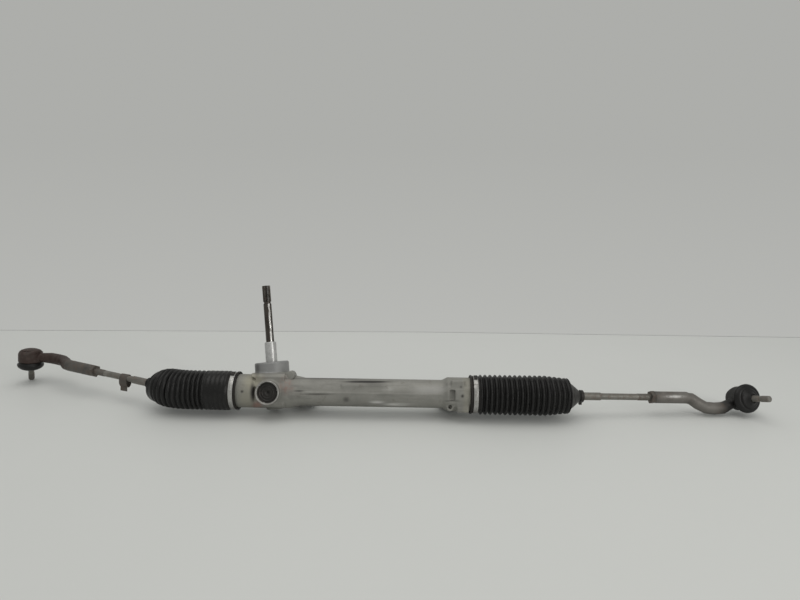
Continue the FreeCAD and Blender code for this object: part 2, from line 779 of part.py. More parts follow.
def pinion_bearings():
    """Ball bearing with shields, ring nut, seal, lower bush and the bottom cap."""
    race = "bearing_race"
    low = "bearing_seat"
    high = "(bearing_seat + bearing_width)"
    outer = turned("pinion_bearing_outer", ring_outline(
        f"bearing_bore_r + {race} + running_gap", "bearing_r - press_gap", low, high))
    keep(outer, "pinion_bearing_outer", at("pinion_frame"))
    inner = turned("pinion_bearing_inner", ring_outline(
        "bearing_bore_r + press_gap", f"bearing_bore_r + {race}", f"{low}", f"{high}"))
    keep(inner, "pinion_bearing_inner", at("pinion_frame"))
    nut = turned("bearing_retainer", ring_outline(
        "retainer_bore_r", "bearing_r - press_gap", f"{high}", f"{high} + retainer_width"))
    keep(nut, "bearing_retainer", at("pinion_frame"))
    seal = turned("pinion_seal", [
        ("sleeve_r + running_gap", "seal_top - seal_width / 2"),
        ("sleeve_r + 3", "seal_top - seal_width"),
        ("bearing_r - press_gap", "seal_top - seal_width"),
        ("bearing_r - press_gap", "seal_top"),
        ("sleeve_r + 3", "seal_top"),
        ("sleeve_r + running_gap", "seal_top - seal_width / 2 + 1.5"),
    ])
    keep(seal, "pinion_seal", at("pinion_frame"))
    bush = turned("pinion_lower_bush", ring_outline(
        "lower_journal_r + shaft_gap", "lower_bush_r - press_gap",
        "-lower_journal_end + 1", "-pinion_half_face - 2"))
    keep(bush, "pinion_lower_bush", at("pinion_frame"))
    cap = turned("pinion_lower_cap", [
        ("0", "-lower_boss_bottom"),
        ("lower_cap_r - press_gap - 1", "-lower_boss_bottom"),
        ("lower_cap_r - press_gap", "-lower_boss_bottom + 1"),
        ("lower_cap_r - press_gap", "-lower_boss_bottom + lower_cap_thickness"),
        ("0", "-lower_boss_bottom + lower_cap_thickness"),
    ])
    keep(cap, "pinion_lower_cap", at("pinion_frame"))


# Yoke that presses the rack against the pinion

def yoke_parts():
    high = "(yoke_pocket + yoke_length)"
    blank = turned("yoke_blank", [
        ("0", "yoke_pocket"),
        ("yoke_r", "yoke_pocket"),
        ("yoke_r", f"{high} - 7"),
        ("yoke_r - 1.2", f"{high} - 6.5"),
        ("yoke_r - 1.2", f"{high} - 4.5"),
        ("yoke_r", f"{high} - 4"),
        ("yoke_r", f"{high}"),
        ("0", f"{high}"),
    ])
    saddle = cylinder("yoke_saddle", "rack_r + running_gap", "4 * yoke_r", at("", "-2 * yoke_r", angle="90"))
    keep(without("rack_yoke", blank, [saddle]), "rack_yoke", at("yoke_frame"))
    spring = turned("yoke_spring", [
        ("yoke_r * 0.45", f"{high} + spring_height - spring_thickness"),
        ("yoke_r - 1.5", f"{high}"),
        ("yoke_r - 1.5", f"{high} + spring_thickness"),
        ("yoke_r * 0.45", f"{high} + spring_height"),
    ])
    keep(spring, "yoke_spring", at("yoke_frame"))
    low = f"({high} + spring_height)"
    top = f"({low} + plug_thickness)"
    plug = turned("yoke_plug", [
        ("0", low),
        ("yoke_r", low),
        ("yoke_r", top),
        ("yoke_r * 0.86", top),
        ("yoke_r * 0.84", f"{top} - plug_dish"),
        ("yoke_r * 0.56", f"{top} - plug_dish"),
        ("yoke_r * 0.53", f"{top} - plug_dish * 0.4"),
        ("yoke_r * 0.16", f"{top} - plug_dish * 0.4"),
        ("yoke_r * 0.06", f"{top} - plug_dish * 1.8"),
        ("0", f"{top} - plug_dish * 1.8"),
    ])
    keep(plug, "yoke_plug", at("yoke_frame"))


def rack_bush():
    bush = turned("rack_bush", ring_outline(
        "rack_r + running_gap", "tube_bore_r - press_gap", "rack_bush_x", "rack_bush_x + rack_bush_length", "1"))
    keep(bush, "rack_bush", at("rack_line"))


def mount_bushes():
    for side in ("left", "right"):
        place = at("housing_frame", f"{side}_lug_x", "lug_back")
        rubber = turned(f"{side}_mount_rubber", [
            ("bush_sleeve_r + press_gap", "-lug_half_height + bush_rubber_relief"),
            ("lug_bore_r - 2", "-lug_half_height + bush_rubber_relief"),
            ("lug_bore_r - press_gap", "-lug_half_height"),
            ("lug_bore_r - press_gap", "lug_half_height"),
            ("lug_bore_r - 2", "lug_half_height - bush_rubber_relief"),
            ("bush_sleeve_r + press_gap", "lug_half_height - bush_rubber_relief"),
        ])
        keep(rubber, f"{side}_mount_rubber", place)
        tube = turned(f"{side}_mount_sleeve", ring_outline(
            "bush_bolt_r", "bush_sleeve_r", "-bush_sleeve_half_height", "bush_sleeve_half_height", "0.8"))
        keep(tube, f"{side}_mount_sleeve", place)


# Bellows and their clamps

def boot_halves(side, name, step, seat, neck, past):
    """Outlines that meet in a ball round the joint, so the boot bends where the rod does."""
    half_length = "housing_left" if side.sign < 0 else "housing_right"
    ball = "left_ball_x" if side.sign < 0 else "right_ball_x"
    end = f"({half_length} - {ball})"
    body_r = f"(boot_r - {step})"
    neck_end = f"{side.name}_neck_end"
    cone_r = f"(boot_small_r - {step})"
    inboard = turned(f"{name}_inboard", [
        ("0", f"{end} - {SEAT_HIGH} - {past}"),
        (seat, f"{end} - {SEAT_HIGH} - {past}"),
        (seat, f"{end} - {SEAT_LOW}"),
        (body_r, f"{end} - {SEAT_LOW} + boot_shoulder"),
        (body_r, "0"),
        ("0", "0"),
    ])
    outboard = turned(f"{name}_outboard", [
        ("0", "0"),
        (body_r, "0"),
        (cone_r, f"{neck_end} - boot_neck - boot_cone - {step} / 3"),
        (neck, f"{neck_end} - boot_neck - {step} / 3"),
        (neck, f"{neck_end} + {past}"),
        ("0", f"{neck_end} + {past}"),
    ])
    bend = doc.addObject("Part::Sphere", f"{name}_bend")
    bind(bend, "Radius", body_r)
    bind(outboard, "Placement", relative(side.frame("socket_line"), side.frame("rod_frame")))
    return fused(name, [inboard, bend, outboard])


def bellows(side):
    """The rubber boot from the housing's seat to its neck on the tie rod, along its crests."""
    skin = boot_halves(side, f"{side.name}_boot_skin", "0", f"{GROOVE_R} + cuff_wall",
                       "rod_thick_r + running_gap + boot_neck_wall", "0")
    hollow = boot_halves(side, f"{side.name}_boot_hollow", "boot_wall", f"{GROOVE_R} + press_gap",
                         "rod_thick_r + running_gap", "2")
    keep(without(f"{side.name}_boot", skin, [hollow]), f"{side.name}_boot", at(side.frame("socket_line")))


def band(side):
    """The metal band on the boot's large end, with its closed ear on top."""
    half_length = "housing_left" if side.sign < 0 else "housing_right"
    ball = "left_ball_x" if side.sign < 0 else "right_ball_x"
    middle = f"({half_length} - {ball} - seat_groove_edge - seat_groove_width / 2)"
    inner = f"{GROOVE_R} + cuff_wall + press_gap + 0.2"
    ring = turned(f"{side.name}_band_ring", ring_outline(
        f"{inner}", f"{inner} + band_thickness", f"{middle} - band_width / 2", f"{middle} + band_width / 2"))
    ear = box(f"{side.name}_band_ear", "band_ear_height + band_thickness", "band_ear_width", "band_width * 0.8",
              at("", f"{inner}", "-band_ear_width / 2", f"{middle} - band_width * 0.4"))
    top = "180" if side.sign > 0 else "0"
    keep(fused(f"{side.name}_boot_band", [ring, ear]), f"{side.name}_boot_band",
         at(side.frame("socket_line"), axis=(0, 0, 1), angle=top))


# Inner ball joints and tie rods

def ball_mouth(ball, lip):
    """A mouth just too small for the ball, wide enough to clear it where the lip stands."""
    return f"(sqrt({ball} * {ball} - {lip} * {lip}) + running_gap)"


def inner_socket(side):
    """Steel socket screwed into the rack's end, open outboard for the ball."""
    cavity_r = "(ball_r + seat_ring_thickness + socket_clearance)"
    bottom = f"(-{cavity_r} - 0.3)"
    mouth_r = ball_mouth("ball_r", "inner_socket_lip")
    blank = turned(f"{side.name}_socket_blank", [
        ("0", "-inner_socket_back - inner_thread_length"),
        ("inner_thread_r", "-inner_socket_back - inner_thread_length"),
        ("inner_thread_r", "-inner_socket_back"),
        ("inner_socket_r", "-inner_socket_back"),
        ("inner_socket_r", "inner_socket_lip"),
        (f"{mouth_r} + 1", "inner_socket_lip + inner_socket_lip_width"),
        (mouth_r, "inner_socket_lip"),
        (cavity_r, "inner_socket_lip"),
        (cavity_r, bottom),
        ("0", bottom),
    ])
    flats = []
    for turn in ("0", "180"):
        flats.append(box(
            f"{side.name}_flat_{turn}", "inner_socket_r", "2 * inner_socket_r", "wrench_flat_length",
            f"{at('', axis=(0, 0, 1), angle=turn)} * " + at(
                "", "wrench_flats / 2", "-inner_socket_r", "-inner_socket_back - 0.5")))
    keep(without(f"{side.name}_inner_socket", blank, flats), f"{side.name}_inner_socket",
         at(side.frame("socket_line")))


def ball_seats(side, word, ball, pad_frame, ring_frame):
    """Two plastic seats. The pad behind the ball turns with it one way, the ring both ways."""
    pad = turned(f"{side.name}_{word}_pad", ring_outline(
        "0", "seat_pad_r", f"-{ball} - running_gap - seat_pad_thickness", f"-{ball} - running_gap"))
    keep(pad, f"{side.name}_{word}_pad", pad_frame)
    fit = f"({ball} + running_gap)"
    inner = ball_corners(f"({fit} / cos((seat_ring_outer - seat_ring_inner) / 2))", "seat_ring_inner",
                         "seat_ring_outer", 1)
    outer = ball_corners(f"({ball} + seat_ring_thickness)", "seat_ring_inner", "seat_ring_outer", 1)
    keep(turned(f"{side.name}_{word}_ring", outer + inner[::-1]), f"{side.name}_{word}_ring", ring_frame)


def tie_rod(side):
    """Ball, neck, thick shank with the boot's groove, thin shank and thread in one forging."""
    back = "acos(ball_back / ball_r)"
    neck = "(180 deg - asin(rod_neck_r / ball_r))"
    rod = turned(f"{side.name}_tie_rod", [("0", "-ball_back")] + ball_corners("ball_r", back, neck, 8) + [
        ("rod_neck_r", "ball_r + 6"),
        ("rod_thick_r", "ball_r + 14"),
        ("rod_thick_r", "rod_thick_end"),
        ("rod_thin_r", "rod_thick_end + 3"),
        ("rod_thin_r", "rod_thread_end - 1"),
        ("rod_thin_r - 1", "rod_thread_end"),
        ("0", "rod_thread_end"),
    ])
    keep(rod, f"{side.name}_tie_rod", at(side.frame("rod_frame")))


def hexagon_points(flats):
    return [(f"{flats} / 2 / cos(30) * cos({60 * k})", f"{flats} / 2 / cos(30) * sin({60 * k})") for k in range(6)]


def lock_nut(side):
    """Hexagon nut that locks the outer end on the rod's thread."""
    body = doc.addObject("PartDesign::Body", f"{side.name}_lock_nut")
    sketch = outline_sketch(body, f"{side.name}_nut_outline", hexagon_points("lock_nut_flats"), "XY_Plane")
    pad = body.newObject("PartDesign::Pad", f"{side.name}_nut_pad")
    pad.Profile = sketch
    bind(pad, "Length", "lock_nut_width")
    doc.recompute()
    hole = outline_sketch(body, f"{side.name}_nut_hole", [
        ("0", "-1"),
        ("rod_thin_r + press_gap", "-1"),
        ("rod_thin_r + press_gap", "lock_nut_width + 1"),
        ("0", "lock_nut_width + 1"),
    ])
    bore = body.newObject("PartDesign::Groove", f"{side.name}_nut_bore")
    bore.Profile = hole
    bore.ReferenceAxis = (hole, ["V_Axis"])
    bore.Angle = 360
    keep(body, f"{side.name}_lock_nut", at(side.frame("rod_frame"), z="barrel_start - lock_nut_width"))


def outer_end(side):
    """Barrel, cranked neck and ball head, forged in one."""
    drop = f"{side.sign} * gooseneck_drop"
    rows = [
        ("barrel_end - 6", "0", "barrel_r - 0.6"),
        ("barrel_end + 5", "0.10", "(barrel_r + gooseneck_r) / 2"),
        ("(barrel_end + gooseneck_start) / 2 + 2", "0.56", "gooseneck_r"),
        ("gooseneck_start", "0.93", "gooseneck_r"),
        ("(gooseneck_start + gooseneck_end) / 2", "1", "gooseneck_r"),
        ("gooseneck_end", "0.93", "gooseneck_r"),
        ("(gooseneck_end + rod_length) / 2 - 3", "0.55", "gooseneck_r - 1.3"),
        ("rod_length - 6", "0.12", "gooseneck_r - 1.6"),
    ]
    tilts = ("0", "-20", "-30", "-10", "0", "12", "30", "0")
    rings = []
    for k, ((z, share, radius), tilt) in enumerate(zip(rows, tilts)):
        ring = doc.addObject("Part::Circle", f"{side.name}_neck_section_{k}")
        bind(ring, "Radius", radius)
        bind(ring, "Placement", at("", "0", f"{share} * {drop}", z, (1, 0, 0), f"{side.sign} * {tilt}"))
        rings.append(ring)
    neck = doc.addObject("Part::Loft", f"{side.name}_gooseneck")
    neck.Sections = rings
    neck.Solid = True
    neck.Ruled = True
    barrel = turned(f"{side.name}_barrel", [
        ("0", "barrel_start"),
        ("barrel_r - 1.5", "barrel_start"),
        ("barrel_r", "barrel_start + 1.5"),
        ("barrel_r", "barrel_end - 3"),
        ("barrel_r - 1", "barrel_end"),
        ("0", "barrel_end"),
    ])
    head = turned(f"{side.name}_head", [
        ("0", "-head_back"),
        ("head_r - head_edge", "-head_back"),
        ("head_r", "-head_back + head_edge"),
        ("head_r", "head_front - head_collar - 0.5"),
        ("head_collar_r", "head_front - head_collar"),
        ("head_collar_r", "head_front"),
        ("0", "head_front"),
    ])
    cavity_r = "(stud_ball_r + seat_ring_thickness + socket_clearance)"
    cavity = turned(f"{side.name}_head_cavity", [
        ("0", "-head_back - 1"),
        (f"{cavity_r} + 1", "-head_back - 1"),
        (f"{cavity_r} + 1", "-head_back + head_cap_thickness"),
        (cavity_r, "-head_back + head_cap_thickness"),
        (cavity_r, "stud_lip"),
        (ball_mouth("stud_ball_r", "stud_lip"), "stud_lip"),
        ("stud_ball_r * 1.3", "head_front + 0.5"),
        ("0", "head_front + 0.5"),
    ])
    thread = cylinder(f"{side.name}_barrel_bore", "rod_thin_r + press_gap", "barrel_bore_depth + 1",
                      at("", z="barrel_start - 1"))
    for piece in (head, cavity):
        bind(piece, "Placement", at("", z="rod_length", angle="90"))
    blank = fused(f"{side.name}_end_blank", [barrel, neck, head])
    keep(without(f"{side.name}_outer_end", blank, [cavity, thread]), f"{side.name}_outer_end",
         at(side.frame("end_frame")))
    cap = turned(f"{side.name}_head_cap", [
        ("0", "-head_back"),
        (f"{cavity_r} + 1 - press_gap", "-head_back"),
        (f"{cavity_r} + 1 - press_gap", "-head_back + head_cap_thickness"),
        ("0", "-head_back + head_cap_thickness"),
    ])
    keep(cap, f"{side.name}_head_cap", at(side.frame("stud_socket")))


def ball_stud(side):
    """Ball with a flat back, neck, taper, groove and threaded end."""
    back = "acos(stud_ball_back / stud_ball_r)"
    neck = "(180 deg - asin(stud_neck_r / stud_ball_r))"
    stud = turned(f"{side.name}_ball_stud", [("0", "-stud_ball_back")] + ball_corners(
        "stud_ball_r", back, neck, 7) + [
        ("stud_neck_r", "stud_taper_start - 1.5"),
        ("stud_taper_r", "stud_taper_start"),
        ("stud_taper_end_r", "stud_taper_end"),
        ("stud_groove_r", "stud_taper_end + 0.8"),
        ("stud_groove_r", "stud_groove_end - 0.6"),
        ("stud_thread_r", "stud_groove_end"),
        ("stud_thread_r", "stud_length - stud_tip_edge"),
        ("stud_thread_r - stud_tip_edge", "stud_length"),
        ("0", "stud_length"),
    ])
    keep(stud, f"{side.name}_ball_stud", at(side.frame("stud_frame")))


def dust_dome(side, name, radius, lip, top, floor, skirt, low):
    """A ball shaped cover that leans with the stud, trimmed at its floor, over a round skirt."""
    lean = relative(side.frame("stud_socket"), side.frame("stud_frame"))
    first = f"asin({lip} / {radius})"
    corners = [(x, f"-1 * ({z})") for x, z in ball_corners(radius, first, "105 deg", 5)]
    dome = turned(f"{name}_dome", [("0", top), (lip, top)] + corners + [("0", f"{radius} * cos(105 deg)")])
    bind(dome, "Placement", lean)
    below = cylinder(f"{name}_trim", f"{radius} * 2", f"{floor} + 60", at("", z="-60"))
    cap = without(f"{name}_cap", dome, [below])
    skirt_piece = cylinder(f"{name}_skirt", skirt, f"{floor} + 0.3 - {low}", at("", z=low))
    return fused(name, [cap, skirt_piece])


def dust_boot(side):
    """Rubber boot from the head's collar to the stud, with a floor between skirt and dome."""
    lip_top = "(dust_boot_r * cos(asin(dust_boot_lip_r / dust_boot_r)) + 1.2)"
    floor = "(head_front + running_gap)"
    skirt_low = "(head_front - head_collar + running_gap)"
    skin = dust_dome(side, f"{side.name}_dust_skin", "dust_boot_r", "dust_boot_lip_r", lip_top,
                     floor, "head_collar_r + dust_boot_wall", skirt_low)
    hollow = dust_dome(side, f"{side.name}_dust_hollow", "(dust_boot_r - dust_boot_wall)",
                       "(stud_taper_r + running_gap)", "dust_boot_r + 3", f"({floor} + dust_boot_wall)",
                       "head_collar_r + press_gap", f"({skirt_low} - 1)")
    keep(without(f"{side.name}_dust_boot", skin, [hollow]), f"{side.name}_dust_boot",
         at(side.frame("stud_socket")))


# Clips

def neck_clip():
    """Wire clip on the right boot's neck."""
    inner = "rod_thick_r + running_gap + boot_neck_wall + press_gap"
    middle = "(right_neck_end - boot_neck / 2 + 0.5)"
    ring = turned("neck_clip_ring", ring_outline(
        inner, f"{inner} + band_thickness", f"{middle} - small_band_width / 2", f"{middle} + small_band_width / 2"))
    ear = box("neck_clip_ear", "5", "4", "small_band_width",
              at("", f"{inner} + band_thickness / 2", "-2", f"{middle} - small_band_width / 2"))
    keep(fused("right_neck_clip", [ring, ear]), "right_neck_clip", at("right_rod_frame"))


def loose_clip():
    """The left neck clip, slipped off its boot and hanging on the thin shank."""
    inner = "loose_clip_r - loose_clip_thickness"
    ring = turned("loose_clip_ring", ring_outline(
        inner, "loose_clip_r", "-loose_clip_width / 2", "loose_clip_width / 2"))
    ear = box("loose_clip_ear_plate", "loose_clip_ear", "loose_clip_thickness * 2", "loose_clip_width",
              at("", "-loose_clip_r - loose_clip_ear + 0.5", "-loose_clip_thickness", "-loose_clip_width / 2"))
    hang = f"-({inner} - rod_thin_r - running_gap)"
    keep(fused("left_loose_clip", [ring, ear]), "left_loose_clip",
         at("left_rod_frame", hang, "0", "loose_clip_at"))


def build():
    rack_housing()
    rack_bar()
    pinion_shaft()
    pinion_bearings()
    yoke_parts()
    rack_bush()
    mount_bushes()
    for side in (LEFT, RIGHT):
        bellows(side)
        band(side)
        inner_socket(side)
        ball_seats(side, "inner", "ball_r", at(side.frame("swing_frame"), angle=side.quarter),
                   at(side.frame("rod_frame")))
        tie_rod(side)
        lock_nut(side)
        outer_end(side)
        ball_seats(side, "stud", "stud_ball_r", at(side.frame("stud_tilt")),
                   at(side.frame("stud_frame")))
        ball_stud(side)
        dust_boot(side)
    neck_clip()
    loose_clip()
    doc.recompute()


def check():
    wrong = []
    for thing in doc.Objects:
        if "Invalid" in thing.State or "Error" in thing.State:
            wrong.append(f"{thing.Name}: {thing.getStatusString()}")
    for thing in sub_parts:
        if thing.Shape.isNull() or not thing.Shape.isValid() or thing.Shape.Volume <= 0:
            wrong.append(f"{thing.Label} has no valid solid")
    if wrong:
        raise RuntimeError("; ".join(wrong))


def write():
    os.makedirs("parts", exist_ok=True)
    for thing in sub_parts:
        thing.Shape.exportStep(f"parts/{thing.Label}.step")


build()
check()
write()
print(len(sub_parts), "sub-parts written")
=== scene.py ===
import json
import math

import bmesh
import bpy
import numpy as np
from bpy.props import FloatProperty, FloatVectorProperty, IntProperty, PointerProperty
from mathutils import Matrix, Quaternion, Vector


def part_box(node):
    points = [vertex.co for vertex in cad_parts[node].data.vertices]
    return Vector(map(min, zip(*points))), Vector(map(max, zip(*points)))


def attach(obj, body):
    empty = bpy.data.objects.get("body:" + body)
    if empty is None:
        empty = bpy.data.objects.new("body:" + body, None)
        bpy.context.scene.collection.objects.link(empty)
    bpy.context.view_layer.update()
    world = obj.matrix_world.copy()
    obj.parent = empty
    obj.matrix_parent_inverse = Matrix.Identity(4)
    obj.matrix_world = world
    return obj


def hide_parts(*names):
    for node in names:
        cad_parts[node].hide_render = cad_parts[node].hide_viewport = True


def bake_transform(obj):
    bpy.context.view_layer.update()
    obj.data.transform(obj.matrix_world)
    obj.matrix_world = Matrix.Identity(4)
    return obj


bl_info = {
    "name": "Steering Rack Looks",
    "version": (1, 1, 0),
    "blender": (4, 5, 0),
    "location": "View3D > Sidebar > Steering Rack",
    "description": "Visible pieces, materials and stage of a used steering rack",
    "category": "Object",
}

bpy.ops.wm.read_factory_settings(use_empty=True)
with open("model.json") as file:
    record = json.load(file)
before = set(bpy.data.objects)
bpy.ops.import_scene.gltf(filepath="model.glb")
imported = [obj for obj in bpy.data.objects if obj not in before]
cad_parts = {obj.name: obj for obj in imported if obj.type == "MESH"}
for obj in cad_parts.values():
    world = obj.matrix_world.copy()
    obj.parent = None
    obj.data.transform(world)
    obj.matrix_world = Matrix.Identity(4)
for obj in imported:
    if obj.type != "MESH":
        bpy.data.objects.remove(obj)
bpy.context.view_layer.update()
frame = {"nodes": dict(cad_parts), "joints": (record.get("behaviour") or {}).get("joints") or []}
MM = 0.001
SIDES = ("left", "right")


def joint(name):
    return next(j for j in frame["joints"] if j["name"] == name)


def turn(axis, degrees):
    return Matrix.Rotation(math.radians(degrees), 4, axis)


# The gear lies where its left inner ball is, rolled back about its rack.
# Housing directions: X along the rack, Z up the pinion side, origin where the pinion crosses the rack
LEFT_BALL = Vector(joint("left_rod_swing")["pos_m"])
PINION_FROM_BALL = 156.8 * MM
ROLL_BACK = 18
HOUSING = Matrix.Translation(LEFT_BALL + Vector((PINION_FROM_BALL, 0, 0))) @ turn("X", -ROLL_BACK)
RACK_LINE = HOUSING @ turn("Y", 90)
YOKE = HOUSING @ turn("X", 90)


# Settings

def number_field(name, words, default, low, high, **more):
    return FloatProperty(name=name, description=words, default=default, min=low, max=high, **more)


def length_field(name, words, default, low, high):
    return number_field(name, words, default, low, high, unit="LENGTH")


def count_field(name, words, default, low, high):
    return IntProperty(name=name, description=words, default=default, min=low, max=high)


def colour_field(name, words, default):
    return FloatVectorProperty(name=name, description=words, subtype="COLOR", default=default, min=0, max=1)


class HousingSettings(bpy.types.PropertyGroup):
    voxel: length_field("Casting detail", "Edge length of the casting's skin", 0.00135, 0.001, 0.004)
    soften: count_field("Softening", "Smoothing rounds on the casting's edges", 3, 0, 12)
    metal: colour_field("Casting colour", "Clean cast aluminium", (0.240, 0.236, 0.214))


class BellowsSettings(bpy.types.PropertyGroup):
    left_folds: count_field("Left folds", "Folds on the left bellows", 18, 6, 30)
    right_folds: count_field("Right folds", "Folds on the right bellows", 18, 6, 30)
    depth: length_field("Fold depth", "Height of a fold from valley to crest", 0.0042, 0.001, 0.008)
    around: count_field("Segments", "Points round each bellows", 96, 24, 160)
    rubber: colour_field("Rubber colour", "Clean black rubber", (0.0065, 0.0062, 0.006))


class RodSettings(bpy.types.PropertyGroup):
    rod_pitch: length_field("Rod thread pitch", "Pitch of the tie rods' threads", 0.0015, 0.001, 0.003)
    stud_pitch: length_field("Stud thread pitch", "Pitch of the studs' threads", 0.00125, 0.001, 0.003)


class StageSettings(bpy.types.PropertyGroup):
    lens: number_field("Lens", "Camera lens in millimetres on a 36 mm wide sensor", 27.72, 15, 90)
    room: number_field("Room light", "Strength of the even light from all round", 0.70, 0, 5)
    key_power: number_field("Main light", "Power of the overhead light in watts", 11.0, 0, 500)
    tube_power: number_field("Tube light", "Power of the tall light on the right", 5.0, 0, 500)
    table: colour_field("Table colour", "Pale table top", (0.606, 0.614, 0.592))
    wall: colour_field("Background colour", "Pale room behind the table", (0.418, 0.422, 0.405))


# Mesh helpers

def new_object(name, data):
    thing = bpy.data.objects.new(name, data)
    bpy.context.scene.collection.objects.link(thing)
    return thing


def mesh_piece(name, points, faces, material, smooth=True):
    mesh = bpy.data.meshes.new(name)
    mesh.from_pydata([tuple(p) for p in points], [], [tuple(int(i) for i in f) for f in faces])
    mesh.polygons.foreach_set("use_smooth", [smooth] * len(mesh.polygons))
    mesh.update()
    mesh.materials.append(material)
    return new_object(name, mesh)


def ring_faces(rings, around, closed=True):
    """Quads between rings of points; closed joins the last ring to the first."""
    faces = []
    for a in range(rings if closed else rings - 1):
        b = (a + 1) % rings
        for k in range(around):
            n = (k + 1) % around
            faces.append((a * around + k, a * around + n, b * around + n, b * around + k))
    return faces


def face_outward(piece):
    """Turns a closed shell's faces outward."""
    work = bmesh.new()
    work.from_mesh(piece.data)
    bmesh.ops.recalc_face_normals(work, faces=work.faces)
    work.to_mesh(piece.data)
    work.free()
    return piece


def tube_outward(piece):
    """Turns an open tube's faces away from its middle."""
    data = piece.data
    middle = sum((v.co for v in data.vertices), Vector()) / len(data.vertices)
    if sum(face.normal.dot(face.center - middle) * face.area for face in data.polygons) < 0:
        data.flip_normals()
    return piece


def rounded(corners, radius, steps=3):
    """A closed outline of (r, z) corners with each corner cut to a small arc."""
    pts = [Vector(c) for c in corners]
    out = []
    for k, p in enumerate(pts):
        a = pts[k - 1] - p
        b = pts[(k + 1) % len(pts)] - p
        cut = min(radius, a.length * 0.45, b.length * 0.45)
        start = p + a.normalized() * cut
        end = p + b.normalized() * cut
        for s in range(steps + 1):
            t = s / steps
            out.append(start * (1 - t) ** 2 + p * 2 * t * (1 - t) + end * t ** 2)
    return out


def in_metres(rows):
    return [(r * MM, z * MM) for r, z in rows]


def turned_points(rows, place, around):
    """Points of (r, z) rows in metres, turned round Z and set at a place."""
    angles = np.linspace(0, 2 * math.pi, around, endpoint=False)
    return [place @ Vector((r * math.cos(a), r * math.sin(a), z)) for r, z in rows for a in angles]


def lathe(name, outline, place, material, around=64, radius=0.3, steps=3):
    """A solid ring turned round Z from a closed (r, z) outline in millimetres, its corners rounded."""
    profile = rounded(in_metres(outline), radius * MM, steps)
    faces = ring_faces(len(profile), around)
    return face_outward(mesh_piece(name, turned_points(profile, place, around), faces, material))


def disc_lathe(name, outline, place, material, around=64):
    """A solid turned from an open outline in millimetres that starts and ends on the axis."""
    rows = in_metres(outline)
    inner = [row for row in rows if row[0] > 1e-7]
    points = turned_points(inner, place, around)
    faces = ring_faces(len(inner), around, closed=False)
    first = len(points)
    points.append(place @ Vector((0, 0, rows[0][1])))
    points.append(place @ Vector((0, 0, rows[-1][1])))
    last = (len(inner) - 1) * around
    for k in range(around):
        n = (k + 1) % around
        faces.append((first, n, k))
        faces.append((first + 1, last + k, last + n))
    return face_outward(mesh_piece(name, points, faces, material))


def mark(piece, name, values):
    """Stores one number per point for the material to read."""
    attribute = piece.data.attributes.new(name, "FLOAT", "POINT")
    attribute.data.foreach_set("value", np.asarray(values, np.float32))


def point_array(piece):
    flat = np.zeros(len(piece.data.vertices) * 3)
    piece.data.vertices.foreach_get("co", flat)
    return flat.reshape(-1, 3)


def set_points(piece, points):
    piece.data.vertices.foreach_set("co", points.astype(np.float32).ravel())
    piece.data.update()


def bake(piece, material=None):
    """Applies a piece's modifiers to its mesh."""
    result = bpy.data.meshes.new_from_object(piece.evaluated_get(bpy.context.evaluated_depsgraph_get()))
    piece.modifiers.clear()
    piece.data = result
    if material:
        result.materials.clear()
        result.materials.append(material)
    return piece


def softened(node, name, voxel, rounds, material):
    """A copy of a CAD node with its edges rounded, as a casting or forging has them."""
    piece = new_object(name, frame["nodes"][node].data.copy())
    remesh = piece.modifiers.new("skin", "REMESH")
    remesh.mode = "VOXEL"
    remesh.voxel_size = voxel
    relax = piece.modifiers.new("relax", "SMOOTH")
    relax.factor = 0.5
    relax.iterations = rounds
    bake(piece, material)
    piece.data.polygons.foreach_set("use_smooth", [True] * len(piece.data.polygons))
    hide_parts(node)
    return piece


def local_points(points, place):
    inverse = np.array(place.inverted())
    return points @ inverse[:3, :3].T + inverse[:3, 3]


def world_points(points, place):
    matrix = np.array(place)
    return points @ matrix[:3, :3].T + matrix[:3, 3]


def smooth_step(values, low, high):
    t = np.clip((values - low) / (high - low), 0, 1)
    return t * t * (3 - 2 * t)


# Where things are

def facing(origin, z_axis, x_hint):
    z = Vector(z_axis).normalized()
    x = Vector(x_hint)
    x = (x - z * x.dot(z)).normalized()
    y = z.cross(x)
    place = Matrix((x, y, z)).transposed().to_4x4()
    place.translation = Vector(origin)
    return place


def z_of(place):
    return place.to_3x3() @ Vector((0, 0, 1))


def pinion_place():
    spin = joint("pinion_spin")
    return facing(spin["pos_m"], spin["axis"], (1, 0, 0))


def socket_line(side):
    """Z outboard along the rack from the inner ball."""
    ball = joint(f"{side}_rod_swing")["pos_m"]
    return facing(ball, (-1 if side == "left" else 1, 0, 0), (0, 0, 1))


def rod_line(side):
    """Z outboard along the tie rod from the inner ball."""
    spin = joint(f"{side}_rod_spin")
    return facing(spin["pos_m"], spin["axis"], (0, 0, 1))


def stud_socket(side):
    """Z out of the outer socket from the outer ball, X back along the rod."""
    rod = Vector(joint(f"{side}_rod_spin")["axis"])
    tilt = joint(f"{side}_stud_tilt")
    return facing(tilt["pos_m"], (-rod).cross(Vector(tilt["axis"])), -rod)


def stud_line(side):
    spin = joint(f"{side}_stud_spin")
    return facing(spin["pos_m"], spin["axis"], (1, 0, 0))


# Where the photograph was taken from: turns in degrees, millimetres from the left inner ball, pixels
CAMERA_TURNS = (14.0, -1.37, 0.43)
CAMERA_FROM_BALL = (390.8, -948.4, 395.0)
FOCAL_PIXELS = 616
PHOTO_MIDDLE = (400, 300)


def camera_place():
    pitch, yaw, roll = CAMERA_TURNS
    stand = Matrix.Translation(LEFT_BALL + Vector(CAMERA_FROM_BALL) * MM)
    return stand @ turn("Z", -yaw) @ turn("X", 90 - pitch) @ turn("Z", roll)


